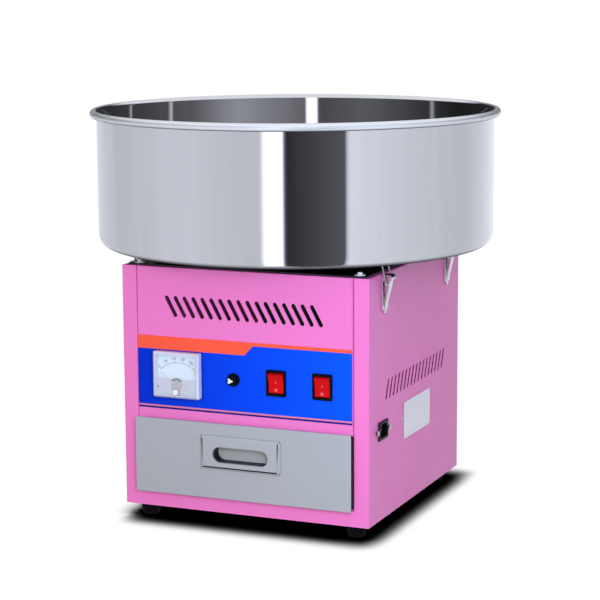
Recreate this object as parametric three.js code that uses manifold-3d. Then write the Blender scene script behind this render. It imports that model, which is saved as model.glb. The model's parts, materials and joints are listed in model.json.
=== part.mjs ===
// Table-top cotton candy machine: a sheet-metal cabinet with a drawer, electric controls and toggle latches
// under a wide steel bowl, in which a heated head spins on a motor's shaft.
// Millimetres. X to the machine's right, Y to its back, Z up, the origin on the floor under the bowl's axis.

import * as THREE from 'three';
import { mergeVertices } from 'three/addons/utils/BufferGeometryUtils.js';
import { ConvexGeometry } from 'three/addons/geometries/ConvexGeometry.js';
import Module from 'manifold-3d';

const wasm = await Module();
wasm.setup();

// Sheets and clearances
const fitGap = 0.3;
const panelSheet = 1.2;
const deckSheet = 1.5;
const traySheet = 1;
const runningGap = 1;

// How far joined bodies run into each other, and how far a cutting body passes the face that it cuts
const overlap = 0.5;
const overcut = 1;

// Feet
const footHeight = 16.5;
const footTopRadius = 13.5;
const footTipRadius = 10.3;
const footChamfer = 1;
const footFromSide = 24;
const footFromFront = 22;

// Cabinet
const cabinetWidth = 328;
const cabinetDepth = 334;
const cabinetHeight = 304;
const stripWidth = 19.5;
const seamGap = 0.8;
const flangeDepth = 16;
const topFlangeWidth = 18;
const railHeight = 19.4;
const railLipDepth = 12;

// Ventilation slots
const slotCount = 17;
const backSlotCount = 9;
const slotWidth = 5.3;
const frontSlotLength = 29.4;
const frontSlotLean = 28.7;
const frontSlotPitch = 12.1;
const frontSlotRowFromTop = 48.5;
const backSlotPitch = 24.2;
const sideSlotLength = 27.2;
const sideSlotLean = 23.2;
const sideSlotPitch = 12.9;
const sideSlotRowFromTop = 145;

// Drawer
const drawerFrontHeight = 95;
const drawerFrontLift = 0.6;
const drawerTopLap = 3;
const drawerAjar = 7.8;
const trayLength = 280;
const trayLift = 3.6;
const trayBelowPanel = 6;
const trayStopLap = 0.6;
const tunnelInStrip = 5;
const trayInTunnel = 1.5;
const tunnelLength = 285;
const runnerWidth = 15;

// Drawer pull
const pullWidth = 106;
const pullHeight = 41.5;
const pullRise = 4;
const pullBevel = 3.5;
const pullFromTop = 36;
const pullSlotWidth = 74.5;
const pullSlotHeight = 19.5;
const pullSlotDrop = 2.6;
const pullCupDepth = 19;
const pullCupWall = 1.2;
const pullSteps = 5;

// Control film
const bandAboveDrawer = 11;
const filmHeight = 91.5;
const filmSheet = 0.5;
const filmFromSeam = 0.5;
const controlFromFilmBottom = 45.5;

// Panel meter
const meterWidth = 62.5;
const meterHeight = 57;
const meterAlong = 0.2024;
const meterRise = 12.6;
const meterFlange = 2;
const meterBodyRadius = 24.6;
const meterBodyDepth = 32;
const meterWall = 1.6;
const meterBevel = 2.4;
const meterWindow = 2.6;
const dialSheet = 0.6;
const dialStudRadius = 1;
const dialStudHeight = 3.2;
const needlePivotDrop = 21;
const needleLength = 33;
const needleWidth = 0.9;
const needleSheet = 0.6;
const needleTail = 5;
const needleHubRadius = 2.8;
const needleHubRise = 0.4;
const needleRest = 44;
const zeroScrewRadius = 3.5;
const zeroScrewDrop = 21;
const zeroScrewHeight = 3;
const zeroScrewProud = 0.6;
const zeroSlotWidth = 1;
const zeroSlotDepth = 1;

// Fuse holder
const fuseAlong = 0.4574;
const fuseFlangeRadius = 8.25;
const fuseFlange = 2.5;
const fuseBodyRadius = 6.3;
const fuseBodyDepth = 32;
const fuseBoreRadius = 4.5;
const fuseWall = 2;
const fuseCapRadius = 6.4;
const fuseCapHeight = 4.6;
const fuseCapChamfer = 0.8;
const fuseSlotWidth = 1.4;
const fuseSlotDepth = 1.5;
const fuseStemLength = 8;
const fuseLinkRadius = 2.6;
const fuseLinkLength = 20;
const fuseLinkGrip = 6;

// Rocker switches, which stand with the fuse holder a little below the meter's middle
const switchDrop = 1.7;
const heatAlong = 0.654;
const powerAlong = 0.8633;
const switchWidth = 26;
const switchHeight = 32.6;
const switchRise = 2.5;
const switchBodyWidth = 22;
const switchBodyHeight = 27.4;
const switchBodyDepth = 22;
const switchPocketDepth = 10;
const rockerWidth = 19.4;
const rockerReach = 12.4;
const rockerPivotDepth = 1;
const rockerCrown = 5.4;
const rockerValley = 3.8;
const rockerBack = 4.6;
const rockerTilt = 8;
const rockerSteps = 4;

// Mains inlet and rating plate on the right side
const inletFromFront = 46.5;
const inletAboveFoot = 112;
const inletWidth = 28;
const inletHeight = 20.6;
const inletScrewReach = 20;
const inletEarRadius = 3.6;
const inletFlange = 1.8;
const inletSideLap = 3;
const inletTopLap = 1.2;
const inletBodyDepth = 19;
const inletSocketWidth = 23;
const inletSocketHeight = 16;
const inletSocketCorner = 5.3;
const inletSocketDepth = 17;
const inletPinLength = 11;
const inletPinSpacing = 7;
const inletPinOffset = 4;
const inletPinWidth = 2;
const inletPinHeight = 4;
const plateFromFront = 169.5;
const plateAboveFoot = 107;
const plateWidth = 96.6;
const plateHeight = 47;
const plateSheet = 0.6;

// Deck and bowl
const deckInset = 5.5;
const deckHoleRadius = 22.5;
const bowlGap = 15;
const bowlRadius = 251.5;
const rimOut = 8.5;
const bowlHeight = 172;
const bowlSheet = 1.2;
const bowlCornerRadius = 16;
const bowlNeckRadius = 20;
const bowlNeckHeight = 14;
const bowlCornerSteps = 3;
const bowlBeadSteps = 7;
const bowlSegments = 64;
const bumperRadius = 9;
const bumperFromSide = 44;

// Motor and its frame
const motorRadius = 50;
const motorLength = 94;
const motorShoulder = 6;
const motorBossRadius = 16;
const motorBossHeight = 4.7;
const motorShaftDepth = 76;
const framePlate = 3;
const frameTopWidth = 110;
const frameBottomWidth = 84;
const framePostSize = 8;
const framePostCentre = 28;
const framePostLength = 42;
const frameBoreRadius = 8;
const brushBlockWidth = 40;
const brushBlockHeight = 32;
const sleeveRadius = 13;
const sleeveHeight = 31;
const sleeveRings = 3;
const sleeveGroove = 1.5;
const sleeveLift = 4;

// Spinning head
const shaftRadius = 6;
const shaftSides = 16;
const collarRadius = 26;
const collarHeight = 4;
const headRadius = 75;
const headSides = 40;
const panFloor = 5;
const panDish = 5;
const panDishIn = 13;
const panRimLip = 4;
const screenSeat = 4;
const screenSeatSlope = 2;
const panHubRadius = 14;
const panHubHeight = 4;
const screenRadius = 71.8;
const screenWall = 1.5;
const screenHeight = 33;
const screenSlotCount = 20;
const screenSlotWidth = 4;
const screenSlotHeight = 22;
const heaterRadius = 62;
const heaterWave = 3.5;
const heaterSheet = 1;
const heaterHeight = 30;
const heaterFolds = 24;
const capSkirt = 5;
const capRise = 12;
const capWellRadius = 30;
const capWellDepth = 14;
const capWall = 1.6;
const capRoof = 2.4;
const capCrown = 3;
const capHubRadius = 11;
const capHubHeight = 4;
const spokeWidth = 6;
const spokeHeight = 3;
const spokeCount = 3;
const nutRadius = 10;
const nutHeight = 12;
const nutChamfer = 3;
const nutRoof = 4;

// Toggle latches
const latchFromCentre = 116;
const latchPivotOut = 9;
const latchPivotDrop = 5;
const latchPinRadius = 1.5;
const latchPinGap = 0.3;
const latchBaseWidth = 19;
const latchBaseHeight = 43;
const latchBaseSheet = 1.5;
const latchEarRadius = 4;
const latchEarSheet = 1.2;
const leverWidth = 12;
const leverLength = 43;
const leverSheet = 1.2;
const leverLean = 11.8;
const leverBarrelRadius = 3.2;
const leverCheekLength = 24;
const leverTipCurl = 2;
const latchSides = 8;
const bailWireRadius = 1.2;
const bailHalfWidth = 10;
const bailBendRadius = 2.5;
const bailBendSteps = 2;
const bailSides = 6;
const bailPivotAlong = 8;
const bailPivotIn = 1;
const bailBarOut = 0.6;
const bailBarBelowBowl = 2.5;
const catchSheet = 1.5;
const catchWidth = 14;
const catchLedgeBeyondBar = 2.4;
const catchFootLength = 12;
const catchRiserIn = 5;

// Levels and positions worked out from the sizes above
const halfWidth = cabinetWidth / 2;
const halfDepth = cabinetDepth / 2;
const cabinetTop = footHeight + cabinetHeight;
const stripEdge = halfWidth - stripWidth;
const panelEdge = stripEdge - seamGap;
const tunnelHalfWidth = stripEdge - tunnelInStrip;
const trayHalfWidth = tunnelHalfWidth - trayInTunnel;
const frontFace = -halfDepth;
const frontInside = frontFace + panelSheet;
const flangeEnd = frontFace + flangeDepth;
const floorTop = footHeight + panelSheet;
const railTop = footHeight + railHeight;
const drawerFrontBottom = railTop + drawerFrontLift;
const drawerFrontTop = drawerFrontBottom + drawerFrontHeight;
const frontPanelBottom = drawerFrontTop - drawerTopLap;
const drawerFrontBack = frontFace - fitGap - drawerAjar;
const drawerFrontFace = drawerFrontBack - panelSheet;
const trayBottom = railTop + trayLift;
const trayTop = frontPanelBottom - trayBelowPanel;
const trayStart = drawerFrontBack + fitGap;
const trayEnd = trayStart + trayLength;
const tunnelCeiling = frontPanelBottom + panelSheet + fitGap;
const tunnelStart = flangeEnd + fitGap;
const tunnelEnd = tunnelStart + tunnelLength;
const pullCentre = drawerFrontTop - pullFromTop;
const pullSlotCentre = pullCentre - pullSlotDrop;
const pullFace = drawerFrontFace - fitGap - pullRise;
const pullCupEnd = pullFace + pullCupDepth;
const filmBottom = drawerFrontTop + bandAboveDrawer;
const filmFace = frontFace - fitGap - filmSheet;
const controlLevel = filmBottom + controlFromFilmBottom;
const controlSeat = filmFace - fitGap;
const switchLevel = controlLevel - switchDrop;
const alongPanel = (share) => (2 * share - 1) * stripEdge;
const meterX = alongPanel(meterAlong);
const fuseX = alongPanel(fuseAlong);
const heatX = alongPanel(heatAlong);
const powerX = alongPanel(powerAlong);
const inletY = -halfDepth + inletFromFront;
const inletZ = footHeight + inletAboveFoot;
const deckBottom = cabinetTop + fitGap;
const deckTop = deckBottom + deckSheet;
const bowlBottom = cabinetTop + bowlGap;
const bowlFloorTop = bowlBottom + bowlSheet;
const bowlTop = bowlBottom + bowlHeight;
const frameTop = deckBottom - fitGap;
const framePostBottom = frameTop - framePlate - framePostLength;
const frameBottom = framePostBottom - framePlate;
const motorBossTop = frameBottom - fitGap;
const motorTop = motorBossTop - motorBossHeight;
const shaftBottom = motorBossTop - motorShaftDepth;
const shaftBore = shaftRadius + fitGap;
const collarBottom = bowlFloorTop + bowlNeckHeight + runningGap;
const panBottom = collarBottom + collarHeight + fitGap;
const panFloorTop = panBottom + panFloor;
const panRimSeat = panFloorTop + panDish;
const screenBottom = panRimSeat + fitGap;
const screenTop = screenBottom + screenHeight;
const capEdgeTop = screenTop + fitGap + capWall;
const capTop = capEdgeTop + capRise;
const capWellBottom = capTop - capWellDepth;
const capHubTop = capWellBottom + capHubHeight;
const nutBottom = capHubTop + fitGap;
const nutTop = nutBottom + nutHeight;
const shaftTop = nutTop - nutRoof - fitGap;
const latchPivotZ = cabinetTop - latchPivotDrop;
const bailBarZ = bowlBottom - bailBarBelowBowl;

// Materials
function finish(color, roughness, metalness, opacity = 1) {
  const transparent = opacity < 1;
  return new THREE.MeshStandardMaterial({
    color, roughness, metalness, opacity, transparent, flatShading: true,
  });
}
const pinkPaint = finish(0xec7ec7, 0.4, 0);
const greyPaint = finish(0xaab0ba, 0.5, 0.1);
const blueFilm = finish(0x0a3ce0, 0.45, 0);
const blackRubber = finish(0x0c0c0d, 0.85, 0);
const blackPlastic = finish(0x101012, 0.45, 0);
const clearPlastic = finish(0xe8edf2, 0.08, 0, 0.35);
const whiteCard = finish(0xf2f1ec, 0.7, 0);
const redPlastic = finish(0xd90808, 0.3, 0);
const clearGlass = finish(0xdfe9ea, 0.05, 0, 0.5);
const polishedSteel = finish(0xc8cad0, 0.12, 1);
const zincSteel = finish(0xb9bcc0, 0.4, 0.9);
const brightSteel = finish(0xd5d3da, 0.25, 1);
const castAluminium = finish(0xb4b6b8, 0.35, 0.9);
const copper = finish(0xb8733a, 0.3, 1);
const carbonBlock = finish(0x2b2624, 0.7, 0);
const motorPaint = finish(0x3a3e44, 0.5, 0.3);
const heaterAlloy = finish(0x6b625b, 0.5, 0.9);

// Solids: closed meshes, with booleans where pieces are cut or joined
function solidOf(geometry) {
  const bare = new THREE.BufferGeometry();
  bare.setAttribute('position', geometry.getAttribute('position'));
  bare.setIndex(geometry.index);
  const merged = mergeVertices(bare, 1e-3);
  const corners = merged.index.array;
  const triVerts = [];
  for (let i = 0; i < corners.length; i += 3) {
    const [a, b, c] = [corners[i], corners[i + 1], corners[i + 2]];
    if (a !== b && b !== c && c !== a) {
      triVerts.push(a, b, c);
    }
  }
  return new wasm.Manifold(new wasm.Mesh({
    numProp: 3,
    vertProperties: new Float32Array(merged.getAttribute('position').array),
    triVerts: new Uint32Array(triVerts),
  }));
}

function geometryOf(solid) {
  const { vertProperties, triVerts } = solid.getMesh();
  const geometry = new THREE.BufferGeometry();
  geometry.setAttribute('position', new THREE.BufferAttribute(new Float32Array(vertProperties), 3));
  geometry.setIndex(new THREE.BufferAttribute(new Uint32Array(triVerts), 1));
  geometry.computeVertexNormals();
  return geometry;
}

function join(pieces) {
  return pieces.map(solidOf).reduce((whole, piece) => whole.add(piece));
}

function cut(body, tools) {
  return tools.map(solidOf).reduce((whole, tool) => whole.subtract(tool), body);
}

// A block between two corners
function block(x0, x1, y0, y1, z0, z1) {
  const geometry = new THREE.BoxGeometry(Math.abs(x1 - x0), Math.abs(y1 - y0), Math.abs(z1 - z0));
  return geometry.translate((x0 + x1) / 2, (y0 + y1) / 2, (z0 + z1) / 2);
}

// A profile of [radius, height] points turned about Z, with its faces made to point out
function turned(profile, segments) {
  const points = profile.map(([radius, height]) => new THREE.Vector2(radius, height));
  const area = points.reduce((sum, p, i) => {
    const q = points[(i + 1) % points.length];
    return sum + p.x * q.y - q.x * p.y;
  }, 0);
  if (area < 0) {
    points.reverse();
  }
  const touchesAxis = points.some((p) => p.x === 0);
  if (touchesAxis) {
    while (!(points[0].x === 0 && points[points.length - 1].x === 0)) {
      points.push(points.shift());
    }
  } else {
    points.push(points[0].clone());
  }
  return new THREE.LatheGeometry(points, segments).rotateX(Math.PI / 2);
}

function tube(outer, inner, z0, z1, segments) {
  return turned([[inner, z0], [outer, z0], [outer, z1], [inner, z1]], segments);
}

function disc(radius, z0, z1, segments) {
  return turned([[0, z0], [radius, z0], [radius, z1], [0, z1]], segments);
}

// Outlines
function rectangle(x0, x1, y0, y1) {
  const shape = new THREE.Shape();
  shape.moveTo(x0, y0);
  shape.lineTo(x1, y0);
  shape.lineTo(x1, y1);
  shape.lineTo(x0, y1);
  shape.closePath();
  return shape;
}

function polygon(points) {
  return new THREE.Shape(points.map(([x, y]) => new THREE.Vector2(x, y)));
}

function circle(x, y, radius, sides = 24) {
  return polygon(Array.from({ length: sides }, (_, i) => {
    const angle = i * 2 * Math.PI / sides;
    return [x + radius * Math.cos(angle), y + radius * Math.sin(angle)];
  }));
}

// A slot with round ends, its length measured over the ends and its top leaning to smaller x by lean degrees
function slot(x, y, length, width, lean) {
  const turn = THREE.MathUtils.degToRad(lean);
  const reach = (length - width) / 2;
  const along = [-Math.sin(turn) * reach, Math.cos(turn) * reach];
  const shape = new THREE.Shape();
  shape.absarc(x + along[0], y + along[1], width / 2, turn, turn + Math.PI, false);
  shape.absarc(x - along[0], y - along[1], width / 2, turn + Math.PI, turn + 2 * Math.PI, false);
  shape.closePath();
  return shape;
}

function slotRow(count, level, pitch, length, lean) {
  return Array.from({ length: count }, (_, i) => {
    const offset = (i - (count - 1) / 2) * pitch;
    return slot(offset, level, length, slotWidth, lean);
  });
}

// An outline in x and y, made thick along Z
function lying(shape, z0, z1, curveSegments = 2) {
  const depth = z1 - z0;
  return new THREE.ExtrudeGeometry(shape, { depth, bevelEnabled: false, curveSegments }).translate(0, 0, z0);
}

// An outline in x and z, made thick along Y from its front to its back
function facing(shape, front, back, curveSegments = 2) {
  return lying(shape, 0, back - front, curveSegments).rotateX(Math.PI / 2).translate(0, back, 0);
}

// An outline in y and z, made thick along X
function sideways(shape, x0, x1, curveSegments = 2) {
  const turn = new THREE.Matrix4().makeBasis(
    new THREE.Vector3(0, 1, 0),
    new THREE.Vector3(0, 0, 1),
    new THREE.Vector3(1, 0, 0),
  );
  return lying(shape, 0, x1 - x0, curveSegments).applyMatrix4(turn).translate(x0, 0, 0);
}

// A turned profile whose axis runs along Y, its heights measured from front to back
function turnedAlongY(profile, segments, x, z) {
  return turned(profile, segments).rotateX(-Math.PI / 2).translate(x, 0, z);
}

// A block whose front face is smaller than its back by a bevel on each side
function bevelled(width, height, back, front, bevel) {
  const points = [];
  for (const i of [-1, 1]) {
    for (const k of [-1, 1]) {
      points.push(new THREE.Vector3(i * width / 2, back, k * height / 2));
      points.push(new THREE.Vector3(i * (width / 2 - bevel), front, k * (height / 2 - bevel)));
    }
  }
  return new ConvexGeometry(points);
}

const machine = new THREE.Group();

function addPiece(name, solid, material, group = machine) {
  const mesh = new THREE.Mesh(geometryOf(solid), material);
  mesh.name = name;
  group.add(mesh);
  return mesh;
}

// Feet
function makeFeet() {
  const top = footHeight - fitGap;
  const profile = [
    [0, 0], [footTipRadius - footChamfer, 0], [footTipRadius, footChamfer], [footTopRadius, top], [0, top],
  ];
  for (const [side, x] of [['left', -halfWidth + footFromSide], ['right', halfWidth - footFromSide]]) {
    for (const [end, y] of [['front', -halfDepth + footFromFront], ['back', halfDepth - footFromFront]]) {
      const foot = solidOf(turned(profile, 16).translate(x, y, 0));
      addPiece(`foot_${end}_${side}`, foot, blackRubber);
    }
  }
}

// Cabinet: the bottom pan with the front rail
function makeBasePan() {
  const inside = halfWidth - panelSheet - fitGap;
  const wall = inside - panelSheet;
  const end = halfDepth - panelSheet - fitGap;
  const railEdge = stripEdge - fitGap;
  const pan = join([
    block(-inside, inside, -end, end, footHeight, floorTop),
    block(-railEdge, railEdge, frontFace, -end + overlap, footHeight, floorTop),
    block(-railEdge, railEdge, frontFace, frontInside, footHeight, railTop),
    block(-railEdge, railEdge, frontFace, frontFace + railLipDepth, railTop - panelSheet, railTop),
    block(-inside, -wall, -end, end, footHeight, railTop),
    block(wall, inside, -end, end, footHeight, railTop),
  ]);
  addPiece('base_pan', pan, pinkPaint);
}

// Cabinet: a side with its front and back strips folded round, mirrored by turning it about Z
function sidePanel(holes) {
  const inside = halfWidth - panelSheet;
  const lip = floorTop + fitGap;
  const wall = rectangle(-halfDepth, halfDepth, footHeight, cabinetTop);
  const pieces = [
    sideways(wall, inside, halfWidth),
    block(halfWidth - topFlangeWidth, halfWidth, -halfDepth, halfDepth, cabinetTop - panelSheet, cabinetTop),
  ];
  for (const end of [-1, 1]) {
    pieces.push(block(
      stripEdge, halfWidth, end * halfDepth, end * (halfDepth - panelSheet), footHeight, cabinetTop,
    ));
    pieces.push(block(
      stripEdge, stripEdge + panelSheet, end * halfDepth, end * (halfDepth - flangeDepth), lip, cabinetTop,
    ));
  }
  return cut(join(pieces), holes.map((hole) => sideways(hole, inside - overcut, halfWidth + overcut)));
}

function makeSidePanels() {
  const level = cabinetTop - sideSlotRowFromTop;
  const slots = (lean) => slotRow(slotCount, level, sideSlotPitch, sideSlotLength, lean);
  const socketHole = rectangle(
    inletY - inletWidth / 2 - fitGap, inletY + inletWidth / 2 + fitGap,
    inletZ - inletHeight / 2 - fitGap, inletZ + inletHeight / 2 + fitGap,
  );
  addPiece('side_panel_right', sidePanel([...slots(-sideSlotLean), socketHole]), pinkPaint);
  const left = addPiece('side_panel_left', sidePanel(slots(sideSlotLean)), pinkPaint);
  left.rotation.z = Math.PI;
}

// Cabinet: a front or back sheet with its edges folded in, drawn as the front one
function facePan(bottom, holes) {
  const wall = rectangle(-panelEdge, panelEdge, bottom, cabinetTop);
  const pieces = [
    facing(wall, frontFace, frontInside),
    block(-panelEdge, panelEdge, frontFace, frontFace + topFlangeWidth, cabinetTop - panelSheet, cabinetTop),
    block(-panelEdge, panelEdge, frontFace, flangeEnd, bottom, bottom + panelSheet),
  ];
  for (const side of [-1, 1]) {
    pieces.push(block(
      side * panelEdge, side * (panelEdge - panelSheet), frontFace, flangeEnd, bottom, cabinetTop,
    ));
  }
  return cut(join(pieces), holes.map((hole) => facing(hole, frontFace - overcut, frontInside + overcut)));
}

// The holes that the front sheet and the film over it share
function controlHoles() {
  const switchHole = (x) => rectangle(
    x - switchBodyWidth / 2 - fitGap, x + switchBodyWidth / 2 + fitGap,
    switchLevel - switchBodyHeight / 2 - fitGap, switchLevel + switchBodyHeight / 2 + fitGap,
  );
  return [
    circle(meterX, controlLevel, meterBodyRadius + fitGap, 24),
    circle(fuseX, switchLevel, fuseBodyRadius + fitGap, 16),
    switchHole(heatX),
    switchHole(powerX),
  ];
}

function makeFaces() {
  const level = cabinetTop - frontSlotRowFromTop;
  const frontSlots = slotRow(slotCount, level, frontSlotPitch, frontSlotLength, frontSlotLean);
  addPiece('front_panel', facePan(frontPanelBottom, [...frontSlots, ...controlHoles()]), pinkPaint);
  const backSlots = slotRow(backSlotCount, level, backSlotPitch, frontSlotLength, frontSlotLean);
  const back = addPiece('back_panel', facePan(floorTop + fitGap, backSlots), pinkPaint);
  back.rotation.z = Math.PI;
}

function makeFilm() {
  const edge = panelEdge - filmFromSeam;
  const sheet = rectangle(-edge, edge, filmBottom, filmBottom + filmHeight);
  const film = solidOf(facing(sheet, filmFace, filmFace + filmSheet));
  const [before, behind] = [filmFace - overcut, filmFace + filmSheet + overcut];
  const holes = controlHoles().map((hole) => facing(hole, before, behind));
  addPiece('control_overlay', cut(film, holes), blueFilm);
}

// The folded sheet that the drawer runs in, which also keeps dust off it
function makeTunnel() {
  const outside = tunnelHalfWidth + panelSheet;
  const top = tunnelCeiling + panelSheet;
  const runnerTop = trayBottom - fitGap;
  const pieces = [block(-outside, outside, tunnelStart - railLipDepth, tunnelEnd, tunnelCeiling, top)];
  for (const side of [-1, 1]) {
    const wall = side * tunnelHalfWidth;
    pieces.push(block(wall, side * outside, tunnelStart, tunnelEnd, floorTop + fitGap, top));
    pieces.push(block(
      side * (tunnelHalfWidth - runnerWidth), side * outside,
      tunnelStart, tunnelEnd, runnerTop - panelSheet, runnerTop,
    ));
  }
  addPiece('drawer_tunnel', join(pieces), zincSteel);
}

// Drawer: the front sheet, the tray behind it and the pull let into both
// A slot with round ends whose long way is along x
function lyingSlot(level, width, height) {
  const reach = (width - height) / 2;
  const shape = new THREE.Shape();
  shape.absarc(reach, level, height / 2, -Math.PI / 2, Math.PI / 2, false);
  shape.absarc(-reach, level, height / 2, Math.PI / 2, 3 * Math.PI / 2, false);
  shape.closePath();
  return shape;
}

function makeDrawer() {
  const pullShape = (margin) => lyingSlot(
    pullSlotCentre, pullSlotWidth + 2 * margin, pullSlotHeight + 2 * margin,
  );
  const cupHole = (front, back) => facing(pullShape(pullCupWall + fitGap), front, back, pullSteps);
  const sheet = rectangle(-stripEdge, stripEdge, drawerFrontBottom, drawerFrontTop);
  const front = solidOf(facing(sheet, drawerFrontFace, drawerFrontBack));
  const frontHole = cupHole(drawerFrontFace - overcut, drawerFrontBack + overcut);
  addPiece('drawer_front', cut(front, [frontHole]), greyPaint);

  const box = block(-trayHalfWidth, trayHalfWidth, trayStart, trayEnd, trayBottom, trayTop);
  const stopTop = frontPanelBottom + trayStopLap;
  const stop = block(-trayHalfWidth, trayHalfWidth, trayEnd - traySheet, trayEnd, trayBottom, stopTop);
  const inside = block(
    -trayHalfWidth + traySheet, trayHalfWidth - traySheet,
    trayStart + traySheet, trayEnd - traySheet, trayBottom + traySheet, stopTop + overcut,
  );
  const trayHole = cupHole(trayStart - overcut, trayStart + traySheet + overcut);
  addPiece('drawer_tray', cut(join([box, stop]), [inside, trayHole]), zincSteel);

  const plateBack = drawerFrontFace - fitGap;
  const plate = bevelled(pullWidth, pullHeight, plateBack, pullFace, pullBevel).translate(0, 0, pullCentre);
  const cup = facing(pullShape(pullCupWall), plateBack - overlap, pullCupEnd + pullCupWall, pullSteps);
  const hollow = facing(pullShape(0), pullFace - overcut, pullCupEnd, pullSteps);
  addPiece('drawer_pull', cut(join([plate, cup]), [hollow]), greyPaint);
}

// Panel meter
function makeMeter() {
  const at = (geometry) => geometry.translate(meterX, 0, controlLevel);
  const box = (width, height, front, back) => block(
    -width / 2, width / 2, front, back, -height / 2, height / 2,
  );
  const flangeFace = controlSeat - meterFlange;
  const plate = box(meterWidth, meterHeight, flangeFace, controlSeat);
  const body = turnedAlongY(
    [[0, controlSeat - overlap], [meterBodyRadius, controlSeat - overlap],
      [meterBodyRadius, frontFace + meterBodyDepth], [0, frontFace + meterBodyDepth]],
    24, 0, 0,
  );
  addPiece('meter_case', join([at(plate), at(body)]), blackPlastic);

  const dialBack = flangeFace - fitGap;
  const dialFace = dialBack - dialSheet;
  const inWidth = meterWidth - 2 * meterWall;
  const inHeight = meterHeight - 2 * meterWall;
  const card = box(inWidth - 2 * fitGap, inHeight - 2 * fitGap, dialFace, dialBack);
  const pivotZ = -needlePivotDrop;
  const stud = turnedAlongY(
    [[0, dialFace - dialStudHeight], [dialStudRadius, dialFace - dialStudHeight],
      [dialStudRadius, dialBack - dialSheet / 2], [0, dialBack - dialSheet / 2]],
    12, 0, pivotZ,
  );
  addPiece('meter_dial', join([at(card), at(stud)]), whiteCard);

  const coverFace = controlSeat - meterRise;
  const shell = bevelled(meterWidth, meterHeight, coverFace + meterBevel, coverFace, meterBevel);
  const skirt = box(meterWidth, meterHeight, coverFace + meterBevel, dialBack);
  const room = box(inWidth, inHeight, coverFace + meterWindow, dialBack + overcut);
  const screwHole = turnedAlongY(
    [[0, coverFace - overcut], [zeroScrewRadius + fitGap, coverFace - overcut],
      [zeroScrewRadius + fitGap, coverFace + meterWindow + overcut], [0, coverFace + meterWindow + overcut]],
    16, 0, -zeroScrewDrop,
  );
  addPiece('meter_cover', cut(join([at(shell), at(skirt)]), [at(room), at(screwHole)]), clearPlastic);

  const needleBack = dialFace - dialStudHeight / 2;
  const needleFront = needleBack - needleSheet;
  const hubFront = needleFront - needleHubRise;
  const hub = turnedAlongY(
    [[0, hubFront], [needleHubRadius, hubFront], [needleHubRadius, needleBack], [0, needleBack]],
    12, 0, 0,
  );
  const blade = facing(
    polygon([[-needleWidth, -needleTail], [needleWidth, -needleTail],
      [needleWidth / 4, needleLength], [-needleWidth / 4, needleLength]]),
    needleFront, needleBack,
  );
  const bore = turnedAlongY(
    [[0, hubFront - overcut], [dialStudRadius + fitGap, hubFront - overcut],
      [dialStudRadius + fitGap, needleBack + overcut], [0, needleBack + overcut]],
    12, 0, 0,
  );
  const needle = addPiece('meter_needle', cut(join([hub, blade]), [bore]), redPlastic);
  needle.position.set(meterX, 0, controlLevel + pivotZ);
  needle.rotation.y = -THREE.MathUtils.degToRad(needleRest);

  const screwTop = coverFace - zeroScrewProud;
  const head = turnedAlongY(
    [[0, screwTop], [zeroScrewRadius, screwTop],
      [zeroScrewRadius, screwTop + zeroScrewHeight], [0, screwTop + zeroScrewHeight]],
    16, 0, 0,
  );
  const driverSlot = block(
    -zeroScrewRadius - overcut, zeroScrewRadius + overcut,
    screwTop - overcut, screwTop + zeroSlotDepth, -zeroSlotWidth / 2, zeroSlotWidth / 2,
  );
  const screw = addPiece('meter_zero_screw', cut(solidOf(head), [driverSlot]), whiteCard);
  screw.position.set(meterX, 0, controlLevel - zeroScrewDrop);
}

// Fuse holder: the socket, the cap with its hollow stem, and the glass fuse in the stem
function makeFuse() {
  const flangeFace = controlSeat - fuseFlange;
  const boreEnd = frontFace + fuseBodyDepth - fuseWall;
  const socket = turnedAlongY(
    [[fuseBoreRadius, flangeFace], [fuseFlangeRadius, flangeFace], [fuseFlangeRadius, controlSeat],
      [fuseBodyRadius, controlSeat], [fuseBodyRadius, boreEnd + fuseWall], [0, boreEnd + fuseWall],
      [0, boreEnd], [fuseBoreRadius, boreEnd]],
    16, fuseX, switchLevel,
  );
  addPiece('fuse_socket', solidOf(socket), blackPlastic);

  const headBack = flangeFace - fitGap;
  const headFace = headBack - fuseCapHeight;
  const stemRadius = fuseBoreRadius - fitGap;
  const stemEnd = headBack + fuseStemLength;
  const gripRadius = fuseLinkRadius + fitGap;
  const gripStart = stemEnd - fuseLinkGrip;
  const cap = turnedAlongY(
    [[0, headFace], [fuseCapRadius - fuseCapChamfer, headFace], [fuseCapRadius, headFace + fuseCapChamfer],
      [fuseCapRadius, headBack], [stemRadius, headBack], [stemRadius, stemEnd], [gripRadius, stemEnd],
      [gripRadius, gripStart], [0, gripStart]],
    16, fuseX, switchLevel,
  );
  const driverSlot = block(
    fuseX - fuseCapRadius / 2, fuseX + fuseCapRadius / 2, headFace - overcut, headFace + fuseSlotDepth,
    switchLevel - fuseSlotWidth / 2, switchLevel + fuseSlotWidth / 2,
  );
  addPiece('fuse_cap', cut(solidOf(cap), [driverSlot]), blackPlastic);

  const linkStart = gripStart + fitGap;
  const link = turnedAlongY(
    [[0, linkStart], [fuseLinkRadius, linkStart],
      [fuseLinkRadius, linkStart + fuseLinkLength], [0, linkStart + fuseLinkLength]],
    12, fuseX, switchLevel,
  );
  addPiece('fuse_link', solidOf(link), clearGlass);
}

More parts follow.
